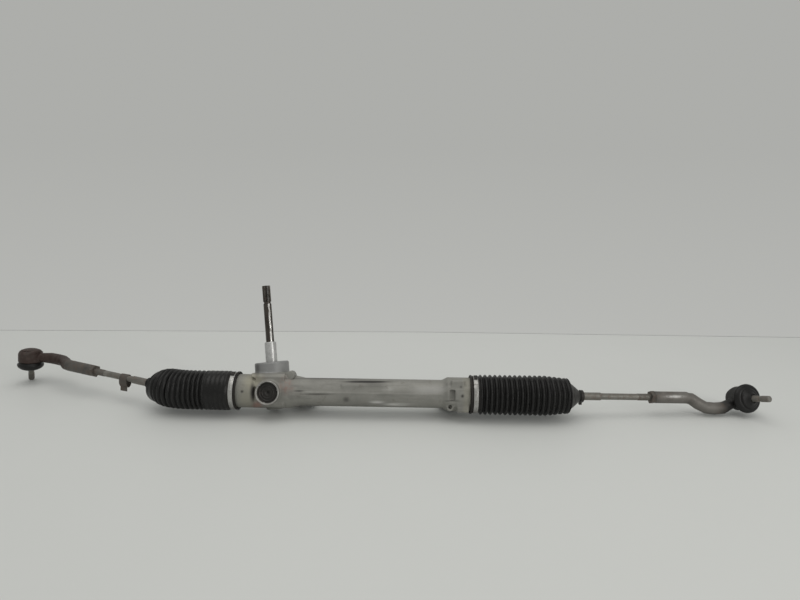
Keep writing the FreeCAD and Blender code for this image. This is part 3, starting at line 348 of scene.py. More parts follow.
def photo_pixels(points):
    """Where points show in the 800 by 600 photograph, to place its stains, scuffs, painted shade and
    painted highlights on the part.
    """
    seen = local_points(points, camera_place())
    across = FOCAL_PIXELS * seen[:, 0] / seen[:, 2]
    down = FOCAL_PIXELS * seen[:, 1] / seen[:, 2]
    return PHOTO_MIDDLE[0] - across, PHOTO_MIDDLE[1] + down


def blots(pixels, *rows):
    """Soft ovals in the photograph, added up, from rows of x, y, half width, half height and strength."""
    total = 0
    for x, y, wide, high, strength in rows:
        away = ((pixels[0] - x) / wide) ** 2 + ((pixels[1] - y) / high) ** 2
        total = total + np.exp(-away ** 1.5) * strength
    return total


# Node trees

def add_node(tree, kind, sockets=None, **settings):
    """A node with its settings, and a value or a link for each named socket."""
    node = tree.nodes.new(kind)
    for key, setting in settings.items():
        setattr(node, key, setting)
    for key, term in (sockets or {}).items():
        term = getattr(term, "socket", term)
        if isinstance(term, bpy.types.NodeSocket):
            tree.links.new(term, node.inputs[key])
        else:
            node.inputs[key].default_value = term
    return node


class Shade:
    """A number or colour in a node tree, with sums written as plain arithmetic."""

    def __init__(self, tree, socket):
        self.tree = tree
        self.socket = socket

    def _math(self, operation, *terms, clamp=False):
        node = add_node(self.tree, "ShaderNodeMath", dict(enumerate(terms)), operation=operation,
                        use_clamp=clamp)
        return Shade(self.tree, node.outputs[0])

    def __add__(self, other):
        return self._math("ADD", self, other)

    def __sub__(self, other):
        return self._math("SUBTRACT", self, other)

    def __rsub__(self, other):
        return self._math("SUBTRACT", other, self)

    def __mul__(self, other):
        return self._math("MULTIPLY", self, other)

    __radd__ = __add__
    __rmul__ = __mul__

    def over(self, other):
        return self._math("DIVIDE", self, other)

    def over_zero(self):
        return self._math("GREATER_THAN", self, 0.0)

    def clamp(self):
        return self._math("ADD", self, 0.0, clamp=True)

    def power(self, exponent):
        return self._math("POWER", self, exponent)

    def sine(self):
        return self._math("SINE", self)

    def between(self, low, high):
        """0 at low, 1 at high, and held at both."""
        node = add_node(self.tree, "ShaderNodeMapRange", {"Value": self, "From Min": low, "From Max": high})
        return Shade(self.tree, node.outputs["Result"])


# Geometry Nodes

SOCKET_KINDS = {float: "NodeSocketFloat", int: "NodeSocketInt", type(None): "NodeSocketMaterial"}


class Growth:
    """A Geometry Nodes tree that ends in real, painted mesh."""

    def __init__(self, name, sizes):
        self.tree = bpy.data.node_groups.new(name, "GeometryNodeTree")
        face = self.tree.interface
        face.new_socket("Geometry", in_out="INPUT", socket_type="NodeSocketGeometry")
        self.names = {}
        for word, default in sizes.items():
            kind = SOCKET_KINDS[type(default)]
            socket = face.new_socket(word, in_out="INPUT", socket_type=kind)
            if default is not None:
                socket.default_value = default
            self.names[word] = socket.identifier
        face.new_socket("Geometry", in_out="OUTPUT", socket_type="NodeSocketGeometry")
        self.inputs = self.add("NodeGroupInput")

    def size(self, word):
        return Shade(self.tree, self.inputs.outputs[word])

    def add(self, kind, sockets=None, **settings):
        return add_node(self.tree, kind, sockets, **settings)

    def attribute(self, word):
        node = self.add("GeometryNodeInputNamedAttribute", {"Name": word})
        return Shade(self.tree, node.outputs["Attribute"])

    def finish(self, geometry):
        real = self.add("GeometryNodeRealizeInstances", {"Geometry": geometry})
        painted = self.add("GeometryNodeSetMaterial", {"Geometry": real.outputs[0],
                                                       "Material": self.inputs.outputs["Material"]})
        self.add("NodeGroupOutput", {0: painted.outputs[0]})
        return self

    def grow(self, piece, values):
        """Runs the tree on a piece and keeps the result as its mesh."""
        modifier = piece.modifiers.new("growth", "NODES")
        modifier.node_group = self.tree
        for word, setting in values.items():
            modifier[self.names[word]] = setting
        return bake(piece)


def bellows_tree():
    """A tube round a line of points, whose radius swells and sinks in folds between two places."""
    tree = Growth("bellows_folds", {
        "First fold": -0.08, "Last fold": 0.04, "Folds": 18.0, "Sharpness": 0.62, "Unevenness": 0.0004,
        "Segments": 96, "Material": None})
    span = tree.size("Last fold") - tree.size("First fold")
    share = (tree.attribute("along") - tree.size("First fold")).over(span)
    inside = share.over_zero() * (1.0 - share).over_zero()
    turns = share * tree.size("Folds") * (2 * math.pi)
    wave = (0.5 - (turns + math.pi / 2).sine() * 0.5).clamp()
    fold = wave.power(tree.size("Sharpness"))
    radius = tree.attribute("reach") - tree.attribute("fold") * (1.0 - fold) * inside
    line = tree.add("GeometryNodeMeshToCurve", {"Mesh": tree.inputs.outputs["Geometry"]})
    crest = tree.add("GeometryNodeStoreNamedAttribute",
                     {"Geometry": line.outputs[0], "Name": "crest", "Value": fold * inside},
                     data_type="FLOAT", domain="POINT")
    sized = tree.add("GeometryNodeSetCurveRadius", {"Curve": crest.outputs[0], "Radius": radius})
    ring = tree.add("GeometryNodeCurvePrimitiveCircle",
                    {"Resolution": tree.size("Segments"), "Radius": 1.0})
    tube = tree.add("GeometryNodeCurveToMesh",
                    {"Curve": sized.outputs[0], "Profile Curve": ring.outputs[0]})
    if "Scale" in tube.inputs:
        tree.tree.links.new(radius.socket, tube.inputs["Scale"])
    lumps = tree.add("ShaderNodeTexNoise", {"Scale": 34.0, "Detail": 2.0})
    height = (Shade(tree.tree, lumps.outputs[0]) - 0.5) * tree.size("Unevenness")
    normal = tree.add("GeometryNodeInputNormal")
    push = tree.add("ShaderNodeVectorMath", {0: normal.outputs[0], "Scale": height}, operation="SCALE")
    moved = tree.add("GeometryNodeSetPosition", {"Geometry": tube.outputs[0], "Offset": push.outputs[0]})
    smooth = tree.add("GeometryNodeSetShadeSmooth", {"Geometry": moved.outputs[0]})
    return tree.finish(smooth.outputs[0])


def thread_tree():
    """A ridge wound round Z."""
    tree = Growth("wound_thread", {"Radius": 0.005, "Pitch": 0.0015, "Length": 0.02, "Ridge": 0.0006,
                                   "Segments": 24, "Material": None})
    spiral = tree.add("GeometryNodeCurveSpiral", {
        "Resolution": tree.size("Segments"), "Rotations": tree.size("Length").over(tree.size("Pitch")),
        "Start Radius": tree.size("Radius"), "End Radius": tree.size("Radius"),
        "Height": tree.size("Length")})
    upright = tree.add("GeometryNodeSetCurveNormal", {"Curve": spiral.outputs[0]}, mode="Z_UP")
    ridge = tree.add("GeometryNodeCurvePrimitiveCircle", {"Resolution": 4, "Radius": tree.size("Ridge")})
    wound = tree.add("GeometryNodeCurveToMesh", {
        "Curve": upright.outputs[0], "Profile Curve": ridge.outputs[0], "Fill Caps": True})
    return tree.finish(wound.outputs[0])


TREES = {}


def tree(name):
    if name not in TREES:
        TREES[name] = {"bellows": bellows_tree, "thread": thread_tree}[name]()
    return TREES[name]


# Materials

# The colour sockets of a Mix node
MIX_FIRST, MIX_SECOND, MIX_RESULT = 6, 7, 2


def blended(tree, share, first, second):
    """A colour between two others."""
    sockets = {"Factor": share}
    for key, colour in ((MIX_FIRST, first), (MIX_SECOND, second)):
        sockets[key] = colour if isinstance(colour, Shade) else (*colour, 1.0)
    node = add_node(tree, "ShaderNodeMix", sockets, data_type="RGBA")
    return Shade(tree, node.outputs[MIX_RESULT])


class Look:
    """One procedural material."""

    def __init__(self, name, roughness=0.5, metallic=0.0, specular=0.5):
        self.material = bpy.data.materials.new(name)
        self.material.use_nodes = True
        self.tree = self.material.node_tree
        self.shader = self.tree.nodes["Principled BSDF"]
        self.shader.inputs["Roughness"].default_value = roughness
        self.shader.inputs["Metallic"].default_value = metallic
        self.shader.inputs["Specular IOR Level"].default_value = specular
        self.where = self.add("ShaderNodeTexCoord").outputs["Object"]

    def add(self, kind, sockets=None, **settings):
        return add_node(self.tree, kind, sockets, **settings)

    def stretched(self, x, y, z):
        return self.add("ShaderNodeMapping", {"Vector": self.where, "Scale": (x, y, z)}).outputs["Vector"]

    def noise(self, scale, detail=3.0, rough=0.55, vector=None):
        node = self.add("ShaderNodeTexNoise", {"Vector": vector or self.where, "Scale": scale,
                                               "Detail": detail, "Roughness": rough})
        return Shade(self.tree, node.outputs["Fac"])

    def beside(self, direction, origin, radius):
        """How far out a point stands in one direction, as a share of a radius."""
        node = self.add("ShaderNodeVectorMath", {0: self.where, 1: direction / radius},
                        operation="DOT_PRODUCT")
        return Shade(self.tree, node.outputs["Value"]) - origin.dot(direction) / radius

    def attribute(self, name):
        return Shade(self.tree, self.add("ShaderNodeAttribute", attribute_name=name).outputs["Fac"])

    def mix(self, share, first, second):
        return blended(self.tree, share, first, second)

    def lay(self, base, *layers):
        """Lays (share, colour) layers over a base colour."""
        for share, colour in layers:
            base = self.mix(share, base, colour)
        return base

    def feed(self, name, value):
        self.tree.links.new(value.socket, self.shader.inputs[name])

    def bump(self, *layers):
        """Stacks (height, distance) layers of relief."""
        below = {}
        for height, distance in layers:
            node = self.add("ShaderNodeBump",
                            {"Strength": 1.0, "Distance": distance, "Height": height, **below})
            below = {"Normal": node.outputs["Normal"]}
        self.tree.links.new(below["Normal"], self.shader.inputs["Normal"])


def shaded(colour, factor):
    return tuple(c * factor for c in colour)


def cast_look(metal):
    """Sand cast aluminium gone dull, with stains, scuffs, painted shade and painted highlights marked on
    the casting.
    """
    look = Look("cast_aluminium", 0.55, 0.35)
    broad = look.noise(16, 4, 0.6)
    patch = look.noise(42, 5, 0.65)
    speck = look.noise(420, 2, 0.5)
    drag = look.noise(70, 4, 0.6, look.stretched(0.14, 1, 1))
    grime = look.noise(64, 6, 0.7).between(0.57, 0.72)
    cool = look.attribute("cool")
    machined = look.attribute("machined")
    clean = look.mix(broad.between(0.35, 0.65), (0.235, 0.235, 0.232), (0.30, 0.30, 0.296))
    turned = look.mix(broad, (0.42, 0.41, 0.39), (0.52, 0.51, 0.485))
    base = look.mix(broad.between(0.35, 0.65), shaded(metal, 0.88), shaded(metal, 1.1))
    base = look.lay(
        base,
        (patch.between(0.45, 0.75) * 0.5, shaded(metal, 1.3)),
        (drag.between(0.53, 0.68) * 0.5, shaded(metal, 0.5)),
        (grime * 0.5, (0.115, 0.10, 0.085)),
        (look.attribute("beige") * 0.75, (0.345, 0.325, 0.25)),
        (look.attribute("pink") * patch.between(0.42, 0.58), (0.24, 0.155, 0.13)),
        (cool, clean),
        (machined, turned),
        # Painted shade in slots, grooves, holes and under edges
        (look.attribute("soot"), (0.035, 0.032, 0.03)),
        # Scuffs, and painted highlights along the tube's edges
        (look.attribute("scuff") * drag.between(0.42, 0.6), (0.56, 0.55, 0.53)))
    look.feed("Base Color", base)
    look.feed("Roughness", (0.5 + speck * 0.2 + grime * 0.15 - machined * 0.12 - cool * 0.08).clamp())
    look.feed("Metallic", (0.35 + machined * 0.35 + cool * 0.15 - grime * 0.25).clamp())
    grain = look.noise(900, 3, 0.6) * (1.0 - machined * 0.85)
    look.bump((grain, 0.00014), (look.noise(150, 3, 0.5), 0.00025))
    return look.material


def steel_look(name, dark, light, rust, rust_share, roughness, metallic, grain=(1, 1, 1), highlight_stripe=None):
    """Steel streaked along its grain and spotted with rust, and perhaps with a painted highlight along a
    stripe.
    """
    look = Look(name, roughness, metallic)
    broad = look.noise(30, 4, 0.6)
    streak = look.noise(220, 3, 0.6, look.stretched(*grain))
    spots = look.noise(180, 5, 0.7).between(0.62 - rust_share * 0.3, 0.74 - rust_share * 0.2)
    base = look.mix(broad.between(0.35, 0.68), dark, light)
    base = look.lay(
        base,
        (streak.between(0.4, 0.7) * 0.4, light),
        (spots * rust_share, rust),
        (look.attribute("pale") * broad.between(0.25, 0.6), shaded(light, 1.45)),
        # Painted highlight: a thin light streak where it is marked
        (look.attribute("bright") * streak.between(0.3, 0.55), (0.5, 0.49, 0.47)),
        (look.attribute("brown") * broad.between(0.15, 0.45), (0.046, 0.029, 0.024)),
        (look.attribute("black"), (0.013, 0.0125, 0.012)))
    if highlight_stripe:
        # Painted highlight: a light stripe along one side of the shaft
        shaft_highlight = look.beside(*highlight_stripe).between(0.955, 0.975) * streak.between(0.3, 0.5)
        base = look.mix(shaft_highlight, base, (0.62, 0.61, 0.59))
    look.feed("Base Color", base)
    look.feed("Roughness", (roughness - 0.06 + streak * 0.16 + spots * 0.3 * rust_share).clamp())
    look.feed("Metallic", (metallic - spots * rust_share * 0.7).clamp())
    look.bump((look.noise(1400, 2, 0.5), 0.00006), (spots, 0.00005 + rust_share * 0.0001))
    return look.material


def rubber_look(name, rubber, bloom, crest_bloom_and_sheen, roughness):
    """Old rubber: dusty and rougher in patches, glossier crests lightened in patches by dust bloom and
    painted sheen, brown where grease has dried.
    """
    look = Look(name, roughness, 0.0, 0.3)
    crest = look.attribute("crest")
    broad = look.noise(22, 4, 0.6)
    dust = look.noise(150, 5, 0.7).between(0.42, 0.7)
    scuff = look.noise(90, 6, 0.75).between(0.6, 0.72)
    base = look.mix(broad.between(0.35, 0.7) * 0.45, rubber, bloom)
    base = look.lay(
        base,
        # Dust bloom and painted sheen lighten the crests in patches
        (crest * crest_bloom_and_sheen * dust, shaded(bloom, 1.8)),
        (scuff * 0.1, (0.07, 0.064, 0.056)),
        (look.attribute("grease") * broad.between(0.3, 0.6) * 0.7, (0.024, 0.018, 0.014)),
        (look.attribute("bloom") * 0.7, (0.055, 0.053, 0.05)))
    look.feed("Base Color", base)
    look.feed("Roughness", (roughness + dust * 0.16 - crest * 0.14).clamp())
    look.bump((look.noise(700, 3, 0.6), 0.0001), (look.noise(60, 4, 0.6), 0.0003))
    return look.material


def plastic_look(name, base, other):
    look = Look(name, 0.45, 0.0)
    look.feed("Base Color", look.mix(look.noise(45, 3), base, other))
    look.feed("Roughness", 0.38 + look.noise(300, 3) * 0.2)
    look.bump((look.noise(800, 2), 0.00005))
    return look.material


LOOKS = {}

# Name, dark, light and rust colours, share of rust, roughness, metallic
STEELS = {
    "steel": ("turned_steel", (0.26, 0.25, 0.235), (0.42, 0.41, 0.39), (0.13, 0.08, 0.05), 0.25, 0.34, 0.9),
    "rod": ("rod_steel", (0.15, 0.145, 0.13), (0.25, 0.243, 0.222), (0.12, 0.075, 0.05), 0.5, 0.42, 0.7,
            (0.1, 1, 1)),
    "shaft": ("shaft_steel", (0.035, 0.031, 0.027), (0.10, 0.092, 0.082), (0.05, 0.032, 0.022), 0.6, 0.24,
              0.9, (1, 1, 0.04)),
    "collar": ("sleeve_steel", (0.40, 0.40, 0.395), (0.62, 0.62, 0.61), (0.17, 0.16, 0.15), 0.4, 0.32, 0.8),
    "rim": ("rim_metal", (0.30, 0.29, 0.275), (0.47, 0.46, 0.44), (0.11, 0.085, 0.07), 0.5, 0.38, 0.7),
    "forged": ("forged_steel", (0.062, 0.058, 0.053), (0.115, 0.108, 0.098), (0.10, 0.062, 0.04), 0.55,
               0.46, 0.45),
    "band": ("band_steel", (0.36, 0.355, 0.34), (0.52, 0.515, 0.50), (0.14, 0.115, 0.09), 0.45, 0.33, 0.75),
    "strap": ("strap_steel", (0.075, 0.068, 0.06), (0.13, 0.12, 0.105), (0.09, 0.055, 0.038), 0.6, 0.5,
              0.5),
    "cap": ("browned_steel", (0.040, 0.027, 0.023), (0.062, 0.043, 0.037), (0.08, 0.045, 0.03), 0.5, 0.5,
            0.4),
    "dark": ("blackened_steel", (0.014, 0.013, 0.012), (0.035, 0.032, 0.029), (0.055, 0.036, 0.025), 0.3,
             0.4, 0.45),
}

# Painted highlight along the input shaft: the side it lies on in degrees round the shaft, and the shaft's
# radius
HIGHLIGHT_SIDE = 33
SHAFT_RADIUS = 6.7 * MM


def make_looks(scene):
    pinion = pinion_place()
    side = math.radians(HIGHLIGHT_SIDE)
    # The painted highlight along the shaft lies on this side
    shaft_highlight = pinion.to_3x3() @ Vector((math.sin(side), -math.cos(side), 0))
    for look, values in STEELS.items():
        highlight_stripe = (shaft_highlight, pinion.translation, SHAFT_RADIUS) if look == "shaft" else None
        LOOKS[look] = steel_look(*values, highlight_stripe=highlight_stripe)
    rubber = tuple(scene.rack_bellows.rubber)
    LOOKS["cast"] = cast_look(tuple(scene.rack_housing.metal))
    LOOKS["boot"] = rubber_look("boot_rubber", rubber, shaded(rubber, 1.9), 0.5, 0.38)
    LOOKS["bush"] = rubber_look("bush_rubber", shaded(rubber, 1.3), shaded(rubber, 3.5), 0.2, 0.46)
    LOOKS["plastic"] = plastic_look("seat_plastic", (0.62, 0.60, 0.52), (0.70, 0.68, 0.60))


def paint(node, look):
    """Gives a CAD node its material."""
    data = frame["nodes"][node].data
    data.materials.clear()
    data.materials.append(LOOKS[look])


def settle(piece, body):
    """Attaches a piece to the body it moves with."""
    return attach(piece, body)


# Housing casting

# Places along the front of the gearbox, in the solid and in the photograph
SOLID_X = (-90, -60, -38.5, -37.8, -31.2, -30.5, -20.5, 20.5, 27.5, 38, 60, 284, 300, 360)
PHOTO_X = (-90, -58, -28.5, -27.5, -22.2, -21.5, -20.2, 20.5, 25, 29, 47, 286, 300, 360)
YOKE_BOSS_SHRINK = 0.045


def shape_casting(piece):
    """Draws the front of the gearbox in to the outline the photograph shows."""
    points = local_points(point_array(piece), HOUSING) / MM
    pinion = local_points(point_array(piece), pinion_place()) / MM
    front = 1 - smooth_step(points[:, 1], -4, 10)
    below_tower = 1 - smooth_step(pinion[:, 2], 24, 29)
    moved = np.interp(points[:, 0], SOLID_X, PHOTO_X) - points[:, 0]
    points[:, 0] += moved * front * below_tower
    reach = np.hypot(points[:, 0], points[:, 2])
    boss = smooth_step(-points[:, 1], 22, 26) * (reach < 23)
    shrink = 1 - YOKE_BOSS_SHRINK * boss * smooth_step(reach, 8, 14)
    points[:, 0] *= shrink
    points[:, 2] *= shrink
    set_points(piece, world_points(points * MM, HOUSING))


# Stains, scuffs, painted shade and painted highlights in the photograph: x, y, half width, half height,
# strength
BEIGE = ((253, 381, 10, 8, 1), (247, 398, 9, 12, 0.6))
PINK = ((286, 385, 7, 8, 1), (258, 406, 6, 5, 1), (262, 378, 6, 3, 0.6))
# Painted shade: dark lines and spots in slots, grooves and holes and under the edges of the tube's pad and
# steps
PAINTED_SHADE_MARKS = ((257, 369, 2.6, 9, 0.5), (252.5, 392, 2.2, 9, 1), (242, 391.5, 1.3, 1.3, 1),
        (346, 399.5, 3.2, 2.6, 0.6), (367, 381.8, 21, 1.0, 1.5), (374, 384.5, 10, 2.5, 0.35),
        (262, 410, 9, 3, 0.5), (462.5, 396.1, 1.4, 1.6, 1), (461, 387, 1.1, 1.1, 0.7),
        (452, 401, 8, 0.8, 0.6), (318, 394.2, 14, 0.8, 0.7), (299, 391, 5, 0.9, 0.8),
        (340, 378.6, 60, 0.7, 0.5))
# Lighter streaks: scuffs, and painted highlights along the tube's edges
SCUFFS_AND_HIGHLIGHTS = ((398, 404.5, 14, 1.6, 1), (377, 402, 7, 1.5, 1), (318, 392.5, 16, 1.2, 0.7),
          (388, 389, 6, 2, 0.6), (430, 390, 18, 5, 0.35))


def stain_casting(piece):
    """Marks where the casting is turned, stained or scuffed, and where shade and highlights are painted on
    it.
    """
    points = point_array(piece)
    pinion = local_points(points, pinion_place()) / MM
    yoke = local_points(points, YOKE) / MM
    along = local_points(points, RACK_LINE)[:, 2] / MM
    seen = photo_pixels(points)
    front = smooth_step(yoke[:, 2], -6, 6)
    tower = smooth_step(pinion[:, 2], 29, 31) * (np.hypot(pinion[:, 0], pinion[:, 1]) < 30)
    reach = np.hypot(yoke[:, 0], yoke[:, 1])
    ends = smooth_step(-along, 52, 60) * 0.35 + smooth_step(along, 312, 318) * 0.35
    mark(piece, "cool", tower)
    mark(piece, "machined", smooth_step(yoke[:, 2], 34.6, 35.4) * (reach < 21))
    mark(piece, "beige", np.clip(blots(seen, *BEIGE) * front + ends, 0, 1) * (1 - tower))
    mark(piece, "pink", np.clip(blots(seen, *PINK) * front, 0, 1) * (1 - tower))
    # Painted shade in slots, grooves, holes and under edges
    mark(piece, "soot", np.clip(blots(seen, *PAINTED_SHADE_MARKS) * front, 0, 1))
    # Scuffs, and painted highlights along the tube's edges
    mark(piece, "scuff", np.clip(blots(seen, *SCUFFS_AND_HIGHLIGHTS) * front, 0, 1))


def build_casting(settings):
    piece = softened("rack_housing", "rack_casting", settings.voxel, settings.soften, LOOKS["cast"])
    shape_casting(piece)
    stain_casting(piece)
    settle(piece, "housing")
    rim = [(17.2, 30.9), (19.3, 33.6), (19.5, 35.2), (19.1, 36.1), (17.9, 36.2), (17.25, 35.6)]
    settle(lathe("yoke_rim", rim, YOKE, LOOKS["rim"], 96, 0.35), "housing")


def build_gearbox_parts():
    boss = YOKE @ Matrix.Translation((32.5 * MM, 27 * MM, 0))
    rows = [(0, -4), (7.3, -4), (7.3, 14.6), (6.9, 15.6), (6.0, 16.0), (3.0, 15.7), (0, 15.6)]
    settle(disc_lathe("side_boss", rows, boss, LOOKS["cast"], 48), "housing")
    rows = [(0, 27.6), (17.2, 27.6), (17.2, 32.4), (16.7, 32.9), (15.6, 32.7), (15.2, 31.6), (14.6, 31.4),
            (14.2, 32.0), (12.9, 32.0), (12.4, 31.0), (10.4, 30.8), (9.9, 31.6), (8.8, 31.7), (8.3, 30.8),
            (6.1, 30.7), (5.6, 31.2), (4.6, 31.2), (4.0, 30.4), (1.9, 30.3), (1.2, 29.0), (0.8, 28.4),
            (0, 28.3)]
    plug = disc_lathe("yoke_plug_turned", rows, YOKE, LOOKS["dark"], 96)
    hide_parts("yoke_plug")
    settle(plug, "housing")
    stakes, stake_reach, stake_height = 3, 17.3 * MM, 34.9 * MM
    for k in range(stakes):
        angle = math.radians(255 + 360 / stakes * k)
        across, up = stake_reach * math.cos(angle), stake_reach * math.sin(angle)
        where = Matrix.Translation((across, up, stake_height))
        rows = [(0, -1.2), (1.5, -1.0), (1.3, 0.1), (0, 0.25)]
        settle(disc_lathe(f"rim_stake_{k}", rows, YOKE @ where, LOOKS["rim"], 20), "housing")
    rows = [(10.0, 43.4), (12.6, 39.8), (17.3, 39.8), (17.3, 46.4), (15.8, 46.6), (14.6, 45.6),
            (12.2, 45.7), (10.6, 46.4), (10.0, 45.0)]
    seal = lathe("shaft_seal", rows, pinion_place(), LOOKS["bush"], 80)
    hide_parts("pinion_seal")
    settle(seal, "housing")
    lower = [(8.6, -15.0), (10.5, -13.8), (13.6, -14.2), (15.4, -16.8), (16.9, -17.4)]
    profile = lower + [(r, -z) for r, z in reversed(lower)]
    for side in SIDES:
        low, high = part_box(f"{side}_mount_sleeve")
        place = facing((low + high) / 2, z_of(HOUSING), (1, 0, 0))
        rubber = lathe(f"{side}_bush_rubber", profile, place, LOOKS["bush"], 72, 0.6)
        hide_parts(f"{side}_mount_rubber")
        settle(rubber, "housing")


# Bellows; distances are in millimetres outboard of the inner ball

LIP = {"left": -103.8, "right": -123.1}
BAND = {"left": -95.6, "right": -113.7}
FIRST_FOLD = {"left": -91.0, "right": -109.2}
LAST_FOLD = {"left": 44.0, "right": 37.5}
NECK_END = {"left": 62.0, "right": 65.0}
BAND_SEAT = 29.7
FOLD_START = 29.9
NECK_START = 9.4
BELLOWS_WALL = 1.6 * MM
# The bellows is cut into pieces here: the sliding piece up to the first place, the swinging piece up to the
# second, the lifting piece up to the third
MOTION_CUTS = (6, 26, 44)


def bellows_path(side):
    """Centre of the bellows at each distance, bending round the ball from rack to rod."""
    bend = 34 * MM
    steps = 24
    line_dir = z_of(socket_line(side))
    rod_dir = z_of(rod_line(side))
    whole = line_dir.rotation_difference(rod_dir)
    ball = socket_line(side).translation

    def heading(z):
        t = min(1.0, max(0.0, (z + bend) / (2 * bend)))
        return Quaternion().slerp(whole, t * t * (3 - 2 * t)) @ line_dir

    def centre(z):
        if z >= bend:
            return ball + rod_dir * z
        if z <= -bend:
            return ball + line_dir * z
        place = ball + line_dir * -bend
        for k in range(steps):
            place = place + heading(-bend + (z + bend) * (k + 0.5) / steps) * (z + bend) / steps
        return place

    return centre


def swell(side, z):
    """Crest radius and fold depth share at a distance between the first and last folds."""
    run = (z - FIRST_FOLD[side]) / (LAST_FOLD[side] - FIRST_FOLD[side])
    if side == "left":
        # Nearly plain beside the band, and rounded off like a barrel towards the rod
        flat_run, flat_share, shallow_from = 0.29, 0.12, 0.75
        taper = max(0.0, z - 6) / 44
        reach = 32.4 * (1 - min(0.93, taper) ** 2.8) ** 0.5
        shallow = 0.35 * max(0.0, run - shallow_from) / (1 - shallow_from)
        return reach, (flat_share if run < flat_run else 1.0) * (1 - shallow)
    narrow = min(1.0, max(0.0, z / LAST_FOLD[side]))
    return 32.7 - 3.9 * narrow, 1.0 - 0.15 * narrow


def bellows_rows(side, settings):
    """(distance, radius, fold depth, grease, bloom) along the bellows from lip to neck."""
    lip, band, first, last = (table[side] for table in (LIP, BAND, FIRST_FOLD, LAST_FOLD))
    rows = [(lip, 30.3, 0, 0.8, 0), (lip + 0.5, 31.4, 0, 0.8, 0), (lip + 1.6, 31.9, 0, 0.8, 0),
            (lip + 3.2, 31.7, 0, 0.8, 0), (band - 4.6, 30.2, 0, 0.8, 0), (band - 3.8, BAND_SEAT, 0, 0.8, 0),
            (band + 3.8, BAND_SEAT, 0, 0.8, 0), (first - 0.5, FOLD_START, 0, 0.6, 0)]
    folds = getattr(settings, f"{side}_folds")
    steps = folds * 12
    depth = settings.depth / MM
    for k in range(steps + 1):
        z = first + (last - first) * k / steps
        reach, share = swell(side, z)
        start = min(1.0, k / 6)
        radius = FOLD_START + (reach - FOLD_START) * start
        rows.append((z, radius, depth * share * start, 0.5 * (1 - start), 0))
    reach, share = swell(side, last)
    valley = reach - depth * share
    neck = NECK_END[side] - 7.5
    bulge, bloom = (1.6, 0.2) if side == "left" else (0.4, 0.9)
    for k in range(1, 9):
        t = k / 8
        radius = valley + (NECK_START - valley) * t + bulge * math.sin(math.pi * t)
        rows.append((last + (neck - last) * t, radius, 0, 0, bloom))
    rows += [(neck + dz, r, 0, 0, 0) for dz, r in (
        (0.6, 8.8), (1.6, 8.7), (2.2, 9.5), (3.0, 9.5), (3.6, 8.7), (4.8, 8.7), (5.4, 9.5), (6.6, 9.4),
        (7.5, 8.9))]
    return rows


def build_bellows(side, settings):
    centre = bellows_path(side)
    rows = bellows_rows(side, settings)
    line_dir = z_of(socket_line(side))
    rod_dir = z_of(rod_line(side))
    ball = socket_line(side).translation
    cuts = (rows[0][0], *MOTION_CUTS, rows[-1][0])
    pad, ring = f"{side}_inner_pad", f"{side}_inner_ring"
    bodies = (("housing", "rack"), ("rack", pad), (pad, ring))
    folds = getattr(settings, f"{side}_folds")
    for k, word in enumerate(("sliding", "swinging", "lifting", "neck")):
        low = next(i for i, row in enumerate(rows) if row[0] >= cuts[k])
        high = next(i for i, row in enumerate(rows) if row[0] >= cuts[k + 1])
        part = rows[low:high + 1]
        mesh = bpy.data.meshes.new(f"{side}_bellows_{word}")
        edges = [(i, i + 1) for i in range(len(part) - 1)]
        mesh.from_pydata([centre(row[0] * MM) for row in part], edges, [])
        piece = new_object(mesh.name, mesh)
        for column, (name, unit) in enumerate((("along", MM), ("reach", MM), ("fold", MM), ("grease", 1),
                                               ("bloom", 1))):
            mark(piece, name, [row[column] * unit for row in part])
        tree("bellows").grow(piece, {
            "First fold": FIRST_FOLD[side] * MM, "Last fold": LAST_FOLD[side] * MM, "Folds": float(folds),
            "Segments": settings.around, "Material": LOOKS["boot"]})
        tube_outward(piece)
        wall = piece.modifiers.new("wall", "SOLIDIFY")
        wall.thickness = BELLOWS_WALL
        wall.offset = -1
        bake(piece)
        if k == 0:
            ball + line_dir * (FIRST_FOLD[side] * MM)
            ball + line_dir * (part[-1][0] * MM)
            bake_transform(piece)
            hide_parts(f"{side}_boot")
        elif k < len(bodies):
            ball + rod_dir * (part[0][0] * MM)
            ball + rod_dir * (part[-1][0] * MM)
            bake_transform(piece)
        else:
            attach(piece, f"{side}_rod")


def strip(name, place, path, width, thickness, look, body, closed=False):
    """A flat metal strip bent along (x, y) points round Z, its width along Z."""
    count = len(path)
    points, faces = [], []
    for k, (x, y) in enumerate(path):
        before = path[k - 1] if closed or k else path[k]
        after = path[(k + 1) % count] if closed or k < count - 1 else path[k]
        run = Vector((after[0] - before[0], after[1] - before[1])).normalized()
        out = Vector((run.y, -run.x)) * thickness
        for lift in (0, 1):
            for z in (-width / 2, width / 2):
                points.append(place @ (Vector((x + out.x * lift, y + out.y * lift, z)) * MM))
    for k in range(count if closed else count - 1):
        a, b = 4 * k, 4 * ((k + 1) % count)
        faces += [(a, b, b + 1, a + 1), (a + 2, a + 3, b + 3, b + 2), (a, a + 2, b + 2, b),
                  (a + 1, b + 1, b + 3, a + 3)]
    if not closed:
        last = 4 * (count - 1)
        faces += [(0, 1, 3, 2), (last, last + 2, last + 3, last + 1)]
    piece = face_outward(mesh_piece(name, points, faces, LOOKS[look], False))
    bevel = piece.modifiers.new("edge", "BEVEL")
    bevel.width = thickness * 0.25 * MM
    bevel.segments = 2
    bevel.limit_method = "ANGLE"
    bake(piece)
    return settle(piece, body)


def arc(radius, start, end, steps):
    angles = [start + (end - start) * k / steps for k in range(steps + 1)]
    return [(radius * math.cos(angle), radius * math.sin(angle)) for angle in angles]


